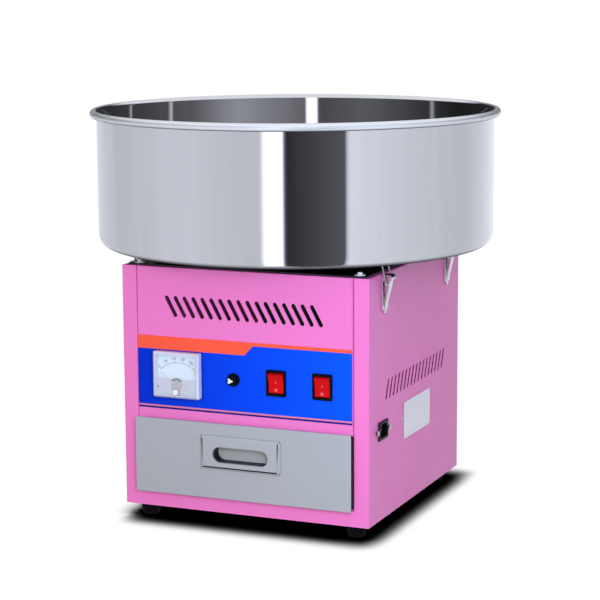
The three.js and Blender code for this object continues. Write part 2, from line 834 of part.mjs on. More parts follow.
// Rocker switches
function makeSwitch(prefix, x) {
  const bezelFace = controlSeat - switchRise;
  const pocketHalf = rockerReach + fitGap;
  const bezel = block(
    x - switchWidth / 2, x + switchWidth / 2, bezelFace, controlSeat,
    switchLevel - switchHeight / 2, switchLevel + switchHeight / 2,
  );
  const body = block(
    x - switchBodyWidth / 2, x + switchBodyWidth / 2, controlSeat - overlap, frontFace + switchBodyDepth,
    switchLevel - switchBodyHeight / 2, switchLevel + switchBodyHeight / 2,
  );
  const pocket = block(
    x - rockerWidth / 2 - fitGap, x + rockerWidth / 2 + fitGap,
    bezelFace - overcut, frontFace + switchPocketDepth, switchLevel - pocketHalf, switchLevel + pocketHalf,
  );
  addPiece(`${prefix}_switch_frame`, cut(join([bezel, body]), [pocket]), blackPlastic);

  const crown = THREE.MathUtils.radToDeg(Math.asin(rockerCrown / rockerReach));
  const back = THREE.MathUtils.radToDeg(Math.asin(rockerBack / rockerReach));
  const upright = 90;
  const outline = polygon([
    ...arc(0, 0, rockerReach, upright + crown, upright - back, rockerSteps),
    ...arc(0, 0, rockerReach, back - upright, -upright - crown, rockerSteps),
    [-rockerValley, 0],
  ]);
  const rocker = sideways(outline, -rockerWidth / 2, rockerWidth / 2);
  const mesh = addPiece(`${prefix}_rocker`, solidOf(rocker), redPlastic);
  mesh.position.set(x, frontFace + rockerPivotDepth, switchLevel);
  mesh.rotation.x = THREE.MathUtils.degToRad(rockerTilt);
}

// Mains inlet, its flange with two small ears for screws, and its three pins inside the socket
function makeInlet() {
  const seat = halfWidth + fitGap;
  const face = seat + inletFlange;
  const back = halfWidth - inletBodyDepth;
  const edge = inletWidth / 2 + inletSideLap;
  const lap = inletHeight / 2 + inletTopLap;
  const flange = new THREE.Shape();
  flange.moveTo(edge, -lap);
  flange.lineTo(edge, -inletEarRadius);
  flange.absarc(inletScrewReach, 0, inletEarRadius, -Math.PI / 2, Math.PI / 2, false);
  flange.lineTo(edge, inletEarRadius);
  flange.lineTo(edge, lap);
  flange.lineTo(-edge, lap);
  flange.lineTo(-edge, inletEarRadius);
  flange.absarc(-inletScrewReach, 0, inletEarRadius, Math.PI / 2, 3 * Math.PI / 2, false);
  flange.lineTo(-edge, -inletEarRadius);
  flange.lineTo(-edge, -lap);
  flange.closePath();
  const body = rectangle(-inletWidth / 2, inletWidth / 2, -inletHeight / 2, inletHeight / 2);
  const socket = polygon([
    [-inletSocketWidth / 2, -inletSocketHeight / 2],
    [inletSocketWidth / 2, -inletSocketHeight / 2],
    [inletSocketWidth / 2, inletSocketHeight / 2 - inletSocketCorner],
    [inletSocketWidth / 2 - inletSocketCorner, inletSocketHeight / 2],
    [-inletSocketWidth / 2 + inletSocketCorner, inletSocketHeight / 2],
    [-inletSocketWidth / 2, inletSocketHeight / 2 - inletSocketCorner],
  ]);
  const floor = face - inletSocketDepth;
  const at = (geometry) => geometry.translate(0, inletY, inletZ);
  const shell = cut(
    join([at(sideways(flange, seat, face)), at(sideways(body, back, seat + overlap))]),
    [at(sideways(socket, floor, face + overcut))],
  );
  const pins = [[-1, -1], [0, 1], [1, -1]].map(([along, up]) => {
    const y = inletY + along * inletPinSpacing;
    const z = inletZ + up * inletPinOffset / 2;
    return solidOf(block(
      floor - overlap, floor + inletPinLength,
      y - inletPinWidth / 2, y + inletPinWidth / 2, z - inletPinHeight / 2, z + inletPinHeight / 2,
    ));
  });
  const inlet = pins.reduce((whole, pin) => whole.add(pin), shell);
  addPiece('power_inlet', inlet, blackPlastic);
}

function makeRatingPlate() {
  const y = -halfDepth + plateFromFront;
  const z = footHeight + plateAboveFoot;
  const seat = halfWidth + fitGap;
  const plate = block(
    seat, seat + plateSheet,
    y - plateWidth / 2, y + plateWidth / 2, z - plateHeight / 2, z + plateHeight / 2,
  );
  addPiece('rating_plate', solidOf(plate), zincSteel);
}

// Deck, bowl and the rubber blocks between them
function makeDeck() {
  const x = halfWidth - deckInset;
  const y = halfDepth - deckInset;
  const sheet = solidOf(block(-x, x, -y, y, deckBottom, deckTop));
  const hole = disc(deckHoleRadius, deckBottom - overcut, deckTop + overcut, 24);
  addPiece('deck_plate', cut(sheet, [hole]), polishedSteel);
}

function arc(cx, cz, radius, from, to, steps) {
  return Array.from({ length: steps + 1 }, (_, i) => {
    const angle = THREE.MathUtils.degToRad(from + (to - from) * i / steps);
    return [cx + radius * Math.cos(angle), cz + radius * Math.sin(angle)];
  });
}

function makeBowl() {
  const inner = bowlRadius - bowlSheet;
  const cornerX = bowlRadius - bowlCornerRadius;
  const cornerZ = bowlBottom + bowlCornerRadius;
  const beadRadius = (rimOut + bowlSheet) / 2;
  const beadX = inner + beadRadius;
  const beadZ = bowlTop - beadRadius;
  const beadStart = -THREE.MathUtils.radToDeg(Math.acos((bowlRadius - beadX) / beadRadius));
  const neckTop = bowlFloorTop + bowlNeckHeight;
  const neckOuter = bowlNeckRadius + bowlSheet;
  const profile = [
    [bowlNeckRadius, bowlBottom],
    ...arc(cornerX, cornerZ, bowlCornerRadius, -90, 0, bowlCornerSteps),
    ...arc(beadX, beadZ, beadRadius, beadStart, 180, bowlBeadSteps),
    ...arc(cornerX, cornerZ, bowlCornerRadius - bowlSheet, 0, -90, bowlCornerSteps),
    [neckOuter, bowlFloorTop],
    [neckOuter, neckTop],
    [bowlNeckRadius, neckTop],
  ];
  addPiece('floss_bowl', solidOf(turned(profile, bowlSegments)), polishedSteel);
}

function makeBumpers() {
  const x = halfWidth - bumperFromSide;
  const y = halfDepth - bumperFromSide;
  for (const [side, i] of [['left', -1], ['right', 1]]) {
    for (const [end, k] of [['front', -1], ['back', 1]]) {
      const bumper = disc(bumperRadius, deckTop + fitGap, bowlBottom - fitGap, 12);
      addPiece(`bowl_bumper_${end}_${side}`, solidOf(bumper.translate(i * x, k * y, 0)), blackRubber);
    }
  }
}

// Motor, its frame under the deck, and the brushes
function makeDrive() {
  const motorBottom = motorTop - motorLength;
  const shoulderRadius = motorRadius - motorShoulder;
  const motor = turned([
    [0, motorBottom], [shoulderRadius, motorBottom], [motorRadius, motorBottom + motorShoulder],
    [motorRadius, motorTop - motorShoulder], [shoulderRadius, motorTop], [motorBossRadius, motorTop],
    [motorBossRadius, motorBossTop], [shaftBore, motorBossTop], [shaftBore, shaftBottom - fitGap],
    [0, shaftBottom - fitGap],
  ], 32);
  addPiece('motor_housing', solidOf(motor), motorPaint);

  const plate = (width, z) => block(-width / 2, width / 2, -width / 2, width / 2, z, z + framePlate);
  const pieces = [plate(frameTopWidth, frameTop - framePlate), plate(frameBottomWidth, frameBottom)];
  for (const i of [-1, 1]) {
    for (const k of [-1, 1]) {
      const [x, y] = [i * framePostCentre, k * framePostCentre];
      const r = framePostSize / 2;
      pieces.push(block(x - r, x + r, y - r, y + r, framePostBottom - overlap, frameTop - overlap));
    }
  }
  const openings = [
    disc(deckHoleRadius, frameTop - framePlate - overcut, frameTop + overcut, 24),
    disc(frameBoreRadius, frameBottom - overcut, framePostBottom + overcut, 16),
  ];
  addPiece('motor_bracket', cut(join(pieces), openings), zincSteel);

  const blockBottom = framePostBottom + fitGap;
  const half = brushBlockWidth / 2;
  const blockTop = blockBottom + brushBlockHeight;
  const body = block(-half, half, -half, half, blockBottom, blockTop);
  const bore = disc(sleeveRadius + runningGap, blockBottom - overcut, blockTop + overcut, shaftSides);
  addPiece('brush_block', cut(solidOf(body), [bore]), carbonBlock);

  const sleeveBottom = blockBottom + sleeveLift;
  const bands = 2 * sleeveRings - 1;
  const step = sleeveHeight / bands;
  const grooved = sleeveRadius - sleeveGroove;
  const profile = [[shaftBore, sleeveBottom]];
  for (let i = 0; i < bands; i += 1) {
    const radius = i % 2 === 0 ? sleeveRadius : grooved;
    profile.push([radius, sleeveBottom + i * step], [radius, sleeveBottom + (i + 1) * step]);
  }
  profile.push([shaftBore, sleeveBottom + sleeveHeight]);
  addPiece('slip_ring_sleeve', solidOf(turned(profile, shaftSides)), copper);

  const shaft = turned([
    [0, shaftBottom], [shaftRadius, shaftBottom], [shaftRadius, collarBottom], [collarRadius, collarBottom],
    [collarRadius, collarBottom + collarHeight], [shaftRadius, collarBottom + collarHeight],
    [shaftRadius, shaftTop], [0, shaftTop],
  ], shaftSides);
  addPiece('drive_shaft', solidOf(shaft), zincSteel);
}

// Spinning head
function makeHead() {
  const lipIn = screenRadius + fitGap;
  const lipTop = panRimSeat + panRimLip;
  const seatIn = screenRadius - screenSeat;
  const pan = turned([
    [panHubRadius, panBottom], [headRadius - panDishIn, panBottom], [headRadius, panBottom + panDish],
    [headRadius, lipTop], [lipIn, lipTop], [lipIn, panRimSeat], [seatIn, panRimSeat],
    [seatIn - screenSeatSlope, panFloorTop], [panHubRadius, panFloorTop],
  ], headSides);
  const panHub = tube(panHubRadius + overlap, shaftBore, panBottom, panFloorTop + panHubHeight, shaftSides);
  addPiece('head_pan', join([pan, panHub]), castAluminium);

  const ring = (offset) => Array.from({ length: heaterFolds * 2 }, (_, i) => {
    const angle = i * Math.PI / heaterFolds;
    const radius = heaterRadius + (i % 2 === 0 ? heaterWave : -heaterWave) / 2 + offset;
    return [radius * Math.cos(angle), radius * Math.sin(angle)];
  });
  const heaterBottom = panFloorTop + fitGap;
  const heaterTop = heaterBottom + heaterHeight;
  const ribbon = solidOf(lying(polygon(ring(heaterSheet / 2)), heaterBottom, heaterTop));
  const inside = lying(polygon(ring(-heaterSheet / 2)), heaterBottom - overcut, heaterTop + overcut);
  addPiece('heater_element', cut(ribbon, [inside]), heaterAlloy);

  const band = tube(screenRadius, screenRadius - screenWall, screenBottom, screenTop, headSides);
  const middle = (screenBottom + screenTop) / 2;
  const cutters = Array.from({ length: screenSlotCount }, (_, i) => block(
    screenRadius - screenWall - overcut, screenRadius + overcut, -screenSlotWidth / 2, screenSlotWidth / 2,
    middle - screenSlotHeight / 2, middle + screenSlotHeight / 2,
  ).rotateZ((i + 0.5) * 2 * Math.PI / screenSlotCount));
  addPiece('head_screen', cut(solidOf(band), cutters), polishedSteel);

  const seat = screenTop + fitGap;
  const skirtIn = screenRadius + runningGap;
  const crownRadius = capWellRadius + capCrown;
  const slope = capRise / (headRadius - crownRadius);
  const roofAtSeat = capEdgeTop + (headRadius - seatIn) * slope - capRoof;
  const cone = turned([
    [headRadius, screenTop - capSkirt], [headRadius, capEdgeTop], [crownRadius, capTop],
    [capWellRadius, capTop], [capWellRadius, capWellBottom], [capWellRadius + capWall, capWellBottom],
    [capWellRadius + capWall, capTop - capRoof], [seatIn, roofAtSeat], [seatIn, seat],
    [skirtIn, seat], [skirtIn, screenTop - capSkirt],
  ], headSides);
  const spokes = Array.from({ length: spokeCount }, (_, i) => block(
    (shaftBore + capHubRadius) / 2, capWellRadius + capWall / 2, -spokeWidth / 2, spokeWidth / 2,
    capWellBottom, capWellBottom + spokeHeight,
  ).rotateZ(Math.PI / 2 + i * 2 * Math.PI / spokeCount));
  const hub = disc(capHubRadius, capWellBottom, capHubTop, shaftSides);
  const bore = disc(shaftBore, capWellBottom - overcut, capHubTop + overcut, shaftSides);
  addPiece('head_cap', cut(join([cone, hub, ...spokes]), [bore]), castAluminium);

  const nut = turned([
    [shaftBore, nutBottom], [nutRadius, nutBottom], [nutRadius, nutTop - nutChamfer],
    [nutRadius - nutChamfer, nutTop], [0, nutTop], [0, nutTop - nutRoof], [shaftBore, nutTop - nutRoof],
  ], shaftSides);
  addPiece('head_nut', solidOf(nut), castAluminium);
}

// Toggle latches, drawn at the right side, x measured out from the cabinet and y from the latch's middle
function latchGroup(side, y) {
  const group = new THREE.Group();
  group.position.set(side * halfWidth, y, 0);
  group.rotation.z = side > 0 ? 0 : Math.PI;
  machine.add(group);
  return group;
}

function latchBase() {
  const seat = fitGap;
  const top = latchPivotZ + latchEarRadius;
  const half = latchBaseWidth / 2;
  const earIn = leverWidth / 2 + fitGap;
  const pieces = [block(seat, seat + latchBaseSheet, -half, half, top - latchBaseHeight, top)];
  const earRoot = seat + latchBaseSheet / 2;
  const ear = new THREE.Shape();
  ear.moveTo(earRoot, latchPivotZ - latchEarRadius);
  ear.lineTo(latchPivotOut, latchPivotZ - latchEarRadius);
  ear.absarc(latchPivotOut, latchPivotZ, latchEarRadius, -Math.PI / 2, Math.PI / 2, false);
  ear.lineTo(earRoot, top);
  ear.closePath();
  for (const front of [-earIn - latchEarSheet, earIn]) {
    pieces.push(facing(ear.clone(), front, front + latchEarSheet));
  }
  const reach = earIn + latchEarSheet / 2;
  const pin = circle(latchPivotOut, latchPivotZ, latchPinRadius, latchSides);
  pieces.push(facing(pin, -reach, reach));
  return join(pieces);
}

// The lever in its own frame: pivot at the origin, x out from the cabinet and z up, hanging down when closed
function latchLever() {
  const half = leverWidth / 2;
  const back = leverBarrelRadius - leverSheet;
  const tipZ = -leverLength - leverTipCurl;
  const plate = facing(
    polygon([
      [back, 0], [back, -leverLength], [back + leverTipCurl, tipZ],
      [leverBarrelRadius + leverTipCurl, tipZ], [leverBarrelRadius, -leverLength], [leverBarrelRadius, 0],
    ]),
    -half, half,
  );
  const cheekOutline = new THREE.Shape();
  cheekOutline.absarc(0, 0, leverBarrelRadius, 0, Math.PI, false);
  cheekOutline.lineTo(-leverBarrelRadius - bailPivotIn, -bailPivotAlong);
  cheekOutline.lineTo(-leverBarrelRadius, -bailPivotAlong - leverBarrelRadius);
  cheekOutline.lineTo(back, -leverCheekLength);
  cheekOutline.lineTo(leverBarrelRadius, -leverCheekLength);
  cheekOutline.closePath();
  const pieces = [plate];
  for (const front of [-half, half - leverSheet]) {
    pieces.push(facing(cheekOutline.clone(), front, front + leverSheet));
  }
  pieces.push(facing(circle(0, 0, leverBarrelRadius, latchSides), -half, half));
  const holes = [
    circle(0, 0, latchPinRadius + latchPinGap, latchSides),
    circle(-bailPivotIn, -bailPivotAlong, bailWireRadius + latchPinGap, latchSides),
  ];
  return cut(join(pieces), holes.map((hole) => facing(hole, -half - overcut, half + overcut)));
}

// Where the bail turns on the lever, in the latch's frame with the lever closed
function bailPivot() {
  const lean = THREE.MathUtils.degToRad(leverLean);
  const down = [-Math.sin(lean), -Math.cos(lean)];
  const out = [Math.cos(lean), -Math.sin(lean)];
  return [
    latchPivotOut + bailPivotAlong * down[0] - bailPivotIn * out[0],
    latchPivotZ + bailPivotAlong * down[1] - bailPivotIn * out[1],
  ];
}

// A wire through the given points, with a ring of its surface at each of them
class WirePath extends THREE.Curve {
  constructor(points) {
    super();
    this.points = points;
  }

  indexAt(u) {
    return Math.round(u * (this.points.length - 1));
  }

  getPointAt(u) {
    return this.points[this.indexAt(u)].clone();
  }

  getTangentAt(u) {
    const i = this.indexAt(u);
    const here = this.points[i];
    const tangent = new THREE.Vector3();
    if (i > 0) {
      tangent.add(here.clone().sub(this.points[i - 1]).normalize());
    }
    if (i < this.points.length - 1) {
      tangent.add(this.points[i + 1].clone().sub(here).normalize());
    }
    return tangent.normalize();
  }
}

// The bail in its own frame: pivot at the origin, the bar straight above it
function latchBail(length) {
  const end = leverWidth / 2 - leverSheet;
  const [left, right] = [bailBendRadius - bailHalfWidth, bailHalfWidth - bailBendRadius];
  const [low, high] = [bailBendRadius, length - bailBendRadius];
  const bend = (y, z, from) => arc(y, z, bailBendRadius, from, from - 90, bailBendSteps);
  const outline = [
    [-end, 0],
    ...bend(left, low, 270),
    ...bend(left, high, 180),
    ...bend(right, high, 90),
    ...bend(right, low, 0),
    [end, 0],
  ];
  const path = new WirePath(outline.map(([y, z]) => new THREE.Vector3(0, y, z)));
  const section = circle(0, 0, bailWireRadius, bailSides);
  return solidOf(new THREE.ExtrudeGeometry(
    section, { steps: outline.length - 1, extrudePath: path, bevelEnabled: false },
  ));
}

function bowlCatch() {
  const top = bowlBottom - fitGap;
  const ledgeTop = bailBarZ - bailWireRadius - fitGap;
  const ledgeBottom = ledgeTop - catchSheet;
  const riser = -catchRiserIn;
  const half = catchWidth / 2;
  return join([
    block(riser - catchFootLength, riser, -half, half, top - catchSheet, top),
    block(riser - catchSheet, riser, -half, half, ledgeBottom, top),
    block(riser - catchSheet, bailBarOut + catchLedgeBeyondBar, -half, half, ledgeBottom, ledgeTop),
  ]);
}

function makeLatches() {
  const [pivotX, pivotZ] = bailPivot();
  const bailLength = Math.hypot(bailBarOut - pivotX, bailBarZ - pivotZ);
  const bailLean = Math.atan2(bailBarOut - pivotX, bailBarZ - pivotZ);
  for (const [sideName, side] of [['left', -1], ['right', 1]]) {
    for (const [endName, end] of [['front', -1], ['back', 1]]) {
      const where = `${endName}_${sideName}`;
      const group = latchGroup(side, end * latchFromCentre);
      addPiece(`latch_base_${where}`, latchBase(), brightSteel, group);
      const lever = addPiece(`latch_lever_${where}`, latchLever(), brightSteel, group);
      lever.position.set(latchPivotOut, 0, latchPivotZ);
      lever.rotation.y = THREE.MathUtils.degToRad(leverLean);
      const bail = addPiece(`latch_bail_${where}`, latchBail(bailLength), brightSteel, group);
      bail.position.set(pivotX, 0, pivotZ);
      bail.rotation.y = bailLean;
      addPiece(`bowl_catch_${where}`, bowlCatch(), polishedSteel, group);
    }
  }
}

makeFeet();
makeBasePan();
makeSidePanels();
makeFaces();
makeFilm();
makeTunnel();
makeDrawer();
makeMeter();
makeFuse();
makeSwitch('heat', heatX);
makeSwitch('power', powerX);
makeInlet();
makeRatingPlate();
makeDeck();
makeBowl();
makeBumpers();
makeDrive();
makeHead();
makeLatches();

export default machine;
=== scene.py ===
"""Visual model of the table-top cotton candy machine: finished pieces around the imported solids.

Lengths are in millimetres until a mesh is made. X is the machine's right, Y its back and Z is up.
"""

import json
import math

import bmesh
import bpy
from mathutils import Matrix, Vector
from mathutils.geometry import tessellate_polygon


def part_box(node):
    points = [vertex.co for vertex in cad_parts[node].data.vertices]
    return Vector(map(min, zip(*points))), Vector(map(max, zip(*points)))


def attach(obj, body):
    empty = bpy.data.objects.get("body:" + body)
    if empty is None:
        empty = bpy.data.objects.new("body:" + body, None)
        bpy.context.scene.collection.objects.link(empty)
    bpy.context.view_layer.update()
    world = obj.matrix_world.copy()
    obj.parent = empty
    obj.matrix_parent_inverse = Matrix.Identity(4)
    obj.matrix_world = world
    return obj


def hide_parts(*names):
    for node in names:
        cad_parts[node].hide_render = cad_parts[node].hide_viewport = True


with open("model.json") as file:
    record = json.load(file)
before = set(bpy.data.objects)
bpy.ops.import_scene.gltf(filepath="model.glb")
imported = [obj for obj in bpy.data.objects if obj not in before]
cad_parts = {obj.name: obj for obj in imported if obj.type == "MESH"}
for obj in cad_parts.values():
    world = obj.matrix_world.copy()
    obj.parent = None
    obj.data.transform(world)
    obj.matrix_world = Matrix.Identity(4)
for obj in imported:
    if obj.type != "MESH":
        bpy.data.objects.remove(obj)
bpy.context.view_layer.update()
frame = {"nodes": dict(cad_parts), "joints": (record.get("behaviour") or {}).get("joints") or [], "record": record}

MM = 0.001
NODES = frame["nodes"]
BODY_OF = {
    node: body
    for body, members in frame["record"]["behaviour"]["bodies"].items()
    for node in members
}
JOINTS = {joint["name"]: joint for joint in frame["joints"]}


def box_mm(node):
    """Lowest and highest corner of a node, in millimetres."""
    low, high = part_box(node)
    return [v / MM for v in low], [v / MM for v in high]


def middle_mm(node):
    low, high = box_mm(node)
    return [(a + b) / 2 for a, b in zip(low, high)]


def front_and_back(node):
    """How far to the front a node's front and its back lie."""
    low, high = box_mm(node)
    return -low[1], -high[1]


def pivot_mm(joint):
    return [v / MM for v in JOINTS[joint]["pos_m"]]


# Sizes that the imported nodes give
PANEL_LOW, PANEL_HIGH = box_mm("side_panel_right")
HALF_WIDTH, HALF_DEPTH, CABINET_TOP = PANEL_HIGH
STRIP_EDGE, _, CABINET_BOTTOM = PANEL_LOW
PANEL_EDGE = box_mm("front_panel")[1][0]
FILM_LOW = box_mm("control_overlay")[0]
DECK_LOW, DECK_HIGH = box_mm("deck_plate")
BOWL_LOW, BOWL_HIGH = box_mm("floss_bowl")

# Sheets and clearances
FIT = 0.3
SHEET = 1.2
FLANGE = 16
TOP_FLANGE = 18
BEND = 1.5
RAIL_HEIGHT = 19.4
RAIL_PROUD = LAP = 0.02
JOIN = 0.01

# The deck, the feet and the bowl
DECK_HOLE = 22.5
DECK_BOLT_X, DECK_BOLT_Y = 147, 152
FOOT_TIP, FOOT_TOP, BUMPER_RADIUS = 10.3, 13.5, 9
BOWL_WALL = 251.5
BOWL_BEND = 16
BOWL_NECK, NECK_HEIGHT, NECK_FILLET = 20, 14, 3

# Where the bowl's finish changes: its rim's bead, and its lower corner, whose shading stays upright
RIM_BEAD, RIM_FADE = 9.7, 2
BOWL_CORNER, CORNER_FADE = 26, 5
CORNER_TURN = 0.12

# The film behind the controls: its orange band's step in height and across, and the line at its foot
BAND_LEVELS = (75, 87.2)
BAND_STEP = (2, 13.6)
FILM_LINE = (2.2, 4.4)

# Controls on the front, and the inlet on the side
SEAT = -FILM_LOW[1] + FIT
METER_HOLE, FUSE_HOLE = 24.9, 6.6
METER_X, _, CONTROL_LEVEL = middle_mm("meter_case")
FUSE_X, _, SWITCH_LEVEL = middle_mm("fuse_socket")
HEAT_X = middle_mm("heat_switch_frame")[0]
POWER_X = middle_mm("power_switch_frame")[0]
SWITCH_BODY = (22, 27.4)
INLET_BODY = (28, 20.6)

# Ventilation slots
SLOT_COUNT = 17
BACK_SLOT_COUNT = 9
SLOT_WIDTH = 5.3
FRONT_SLOT = dict(length=29.4, lean=28.7, pitch=12.1, level=CABINET_TOP - 48.5)
BACK_SLOT = dict(length=29.4, lean=28.7, pitch=24.2, level=CABINET_TOP - 48.5)
SIDE_SLOT = dict(length=27.2, lean=23.2, pitch=12.9, level=CABINET_TOP - 145)


# Outlines


def rotated(x, y, degrees):
    turn = math.radians(degrees)
    return (x * math.cos(turn) - y * math.sin(turn), x * math.sin(turn) + y * math.cos(turn))


def arc(cx, cy, radius, start, end, steps):
    """Points on an arc, its angles in degrees."""
    angles = [math.radians(start + (end - start) * i / steps) for i in range(steps + 1)]
    return [(cx + radius * math.cos(a), cy + radius * math.sin(a)) for a in angles]


def circle(cx, cy, radius, sides=48):
    return arc(cx, cy, radius, 0, 360 - 360 / sides, sides - 1)


def rectangle(x0, x1, y0, y1):
    return [(x0, y0), (x1, y0), (x1, y1), (x0, y1)]


def quarter(x, y, radius, start, steps=3):
    """A quarter round in the corner at x and y, from start degrees on."""
    outward = math.radians(start + 45)
    cx = x - math.copysign(radius, math.cos(outward))
    cy = y - math.copysign(radius, math.sin(outward))
    return arc(cx, cy, radius, start, start + 90, steps)


def round_rect(x0, x1, y0, y1, radius, steps=5):
    corners = [(x1, y0, -90), (x1, y1, 0), (x0, y1, 90), (x0, y0, 180)]
    return [point for x, y, start in corners for point in quarter(x, y, radius, start, steps)]


def centred(half_width, half_height, radius, steps=5):
    return round_rect(-half_width, half_width, -half_height, half_height, radius, steps)


def lean_slot(x, y, length, width, lean, steps=8):
    """A slot with round ends whose top leans to smaller x by lean degrees."""
    reach = (length - width) / 2
    points = arc(0, reach, width / 2, 0, 180, steps) + arc(0, -reach, width / 2, 180, 360, steps)
    return [(x + px, y + py) for px, py in (rotated(px, py, lean) for px, py in points)]


def lying_slot(level, width, height, steps=12):
    reach = (width - height) / 2
    return (arc(reach, level, height / 2, -90, 90, steps)
            + arc(-reach, level, height / 2, 90, 270, steps))


def slot_row(count, length, lean, pitch, level, mirror=1):
    return [
        lean_slot((i - (count - 1) / 2) * pitch, level, length, SLOT_WIDTH, mirror * lean)
        for i in range(count)
    ]


def rounded_path(points, radius, steps=5):
    """A path with an arc in place of each of its inner corners."""
    path = [points[0]]
    for before, here, after in zip(points, points[1:], points[2:]):
        a, b, c = Vector(before), Vector(here), Vector(after)
        into, out = (b - a).normalized(), (c - b).normalized()
        turn = into.angle_signed(out)
        reach = radius * math.tan(abs(turn) / 2)
        side = 1 if into.x * out.y - into.y * out.x > 0 else -1
        start = b - into * reach
        centre = start + Vector((-into.y, into.x)) * side * radius
        for i in range(steps + 1):
            angle = side * abs(turn) * i / steps
            spoke = start - centre
            path.append((
                centre.x + spoke.x * math.cos(angle) - spoke.y * math.sin(angle),
                centre.y + spoke.x * math.sin(angle) + spoke.y * math.cos(angle),
            ))
    path.append(points[-1])
    return path


def moved_left(points, distance, closed):
    """Each point moved to the left of the way along the outline, as far from both its edges."""
    count = len(points)
    moved = []
    for i, point in enumerate(points):
        before = Vector(points[i - 1]) if closed or i > 0 else None
        after = Vector(points[(i + 1) % count]) if closed or i < count - 1 else None
        here = Vector(point)
        ways = []
        if before is not None and (here - before).length > 1e-9:
            ways.append((here - before).normalized())
        if after is not None and (after - here).length > 1e-9:
            ways.append((after - here).normalized())
        normals = [Vector((-way.y, way.x)) for way in ways]
        middle = sum(normals, Vector((0, 0))).normalized()
        moved.append(here + middle * (distance / max(middle.dot(normals[0]), 0.3)))
    return [(p.x, p.y) for p in moved]


def bent_sheet(points, thickness, bend, steps=5):
    """The outline of a bent sheet that lies to the left of its path."""
    path = rounded_path(points, bend, steps)
    return path + moved_left(path, thickness, closed=False)[::-1]


# Solids, each a pair of corner points and faces. An edge is (how far in, how far down, steps).

SHARP = (0, 0, 1)
ROUND = (0.4, 0.4, 3)
FINE = (0.25, 0.25, 2)


def area_of(outline):
    return sum(
        a[0] * b[1] - b[0] * a[1] for a, b in zip(outline, outline[1:] + outline[:1])
    ) / 2


def facing_way(outline, sign):
    return list(outline) if area_of(outline) * sign > 0 else list(outline)[::-1]


def edge_rows(edge, level, way):
    """Rows of (how far in, level) from the wall round to the face at the level."""
    inset, drop, steps = edge
    if not inset:
        return [(0, level)]
    turns = [math.pi / 2 * i / steps for i in range(steps + 1)]
    return [(inset * (1 - math.cos(t)), level - way * drop * (1 - math.sin(t))) for t in turns]


def slab(outer, low, high, holes=(), edge=SHARP, hole_edge=SHARP, base_edge=SHARP):
    """A plate between two levels, with the edges of its face, its holes and its base."""
    loops = [facing_way(outer, 1)] + [facing_way(hole, -1) for hole in holes]
    verts, faces, tops, bottoms = [], [], [], []
    for number, loop in enumerate(loops):
        base_rows = edge_rows(SHARP if number else base_edge, low, -1)[::-1]
        rows = base_rows + edge_rows(hole_edge if number else edge, high, 1)
        count = len(loop)
        first = len(verts)
        for distance, level in rows:
            points = moved_left(loop, distance, closed=True) if distance else loop
            verts += [(x, y, level) for x, y in points]
        for row in range(len(rows) - 1):
            lower = first + row * count
            for i in range(count):
                j = (i + 1) % count
                faces.append((lower + i, lower + j, lower + count + j, lower + count + i))
        bottoms.append(list(range(first, first + count)))
        tops.append(list(range(first + (len(rows) - 1) * count, first + len(rows) * count)))
    for rings, flip in ((tops, False), (bottoms, True)):
        if len(rings) == 1:
            faces.append(tuple(rings[0][::-1] if flip else rings[0]))
            continue
        order = [v for ring in rings for v in ring]
        flat = [[Vector((verts[v][0], verts[v][1], 0)) for v in ring] for ring in rings]
        for triangle in tessellate_polygon(flat):
            corners = tuple(order[i] for i in triangle)
            faces.append(corners[::-1] if flip else corners)
    return verts, faces


def lathe(profile, segments=64):
    """A profile of (radius, height) points turned about Z."""
    closed = all(radius > 0 for radius, _ in profile)
    count = len(profile)
    verts = []
    for i in range(segments):
        angle = math.radians(360 * i / segments)
        verts += [(r * math.cos(angle), r * math.sin(angle), z) for r, z in profile]
    faces = []
    for i in range(segments):
        j = (i + 1) % segments
        for k in range(count if closed else count - 1):
            m = (k + 1) % count
            faces.append((i * count + k, j * count + k, j * count + m, i * count + m))
    return verts, faces


def loft(sections):
    """A body through closed sections with as many corners each."""
    count = len(sections[0])
    verts = [point for section in sections for point in section]
    faces = [tuple(range(count))[::-1], tuple(range(len(verts) - count, len(verts)))]
    for row in range(len(sections) - 1):
        for i in range(count):
            j = (i + 1) % count
            faces.append((
                row * count + i, row * count + j, (row + 1) * count + j, (row + 1) * count + i,
            ))
    return verts, faces


def sweep(path, radius, sides=14):
    """A round wire along a path of points in space."""
    path = [Vector(p) for p in path]
    ways = []
    for i, here in enumerate(path):
        way = Vector((0, 0, 0))
        if i:
            way += (here - path[i - 1]).normalized()
        if i < len(path) - 1:
            way += (path[i + 1] - here).normalized()
        ways.append(way.normalized())
    up = ways[0].orthogonal().normalized()
    sections = []
    for here, way in zip(path, ways):
        up = (up - way * up.dot(way)).normalized()
        out = way.cross(up)
        sections.append([
            here + up * (radius * math.cos(a)) + out * (radius * math.sin(a))
            for a in (2 * math.pi * k / sides for k in range(sides))
        ])
    return loft(sections)


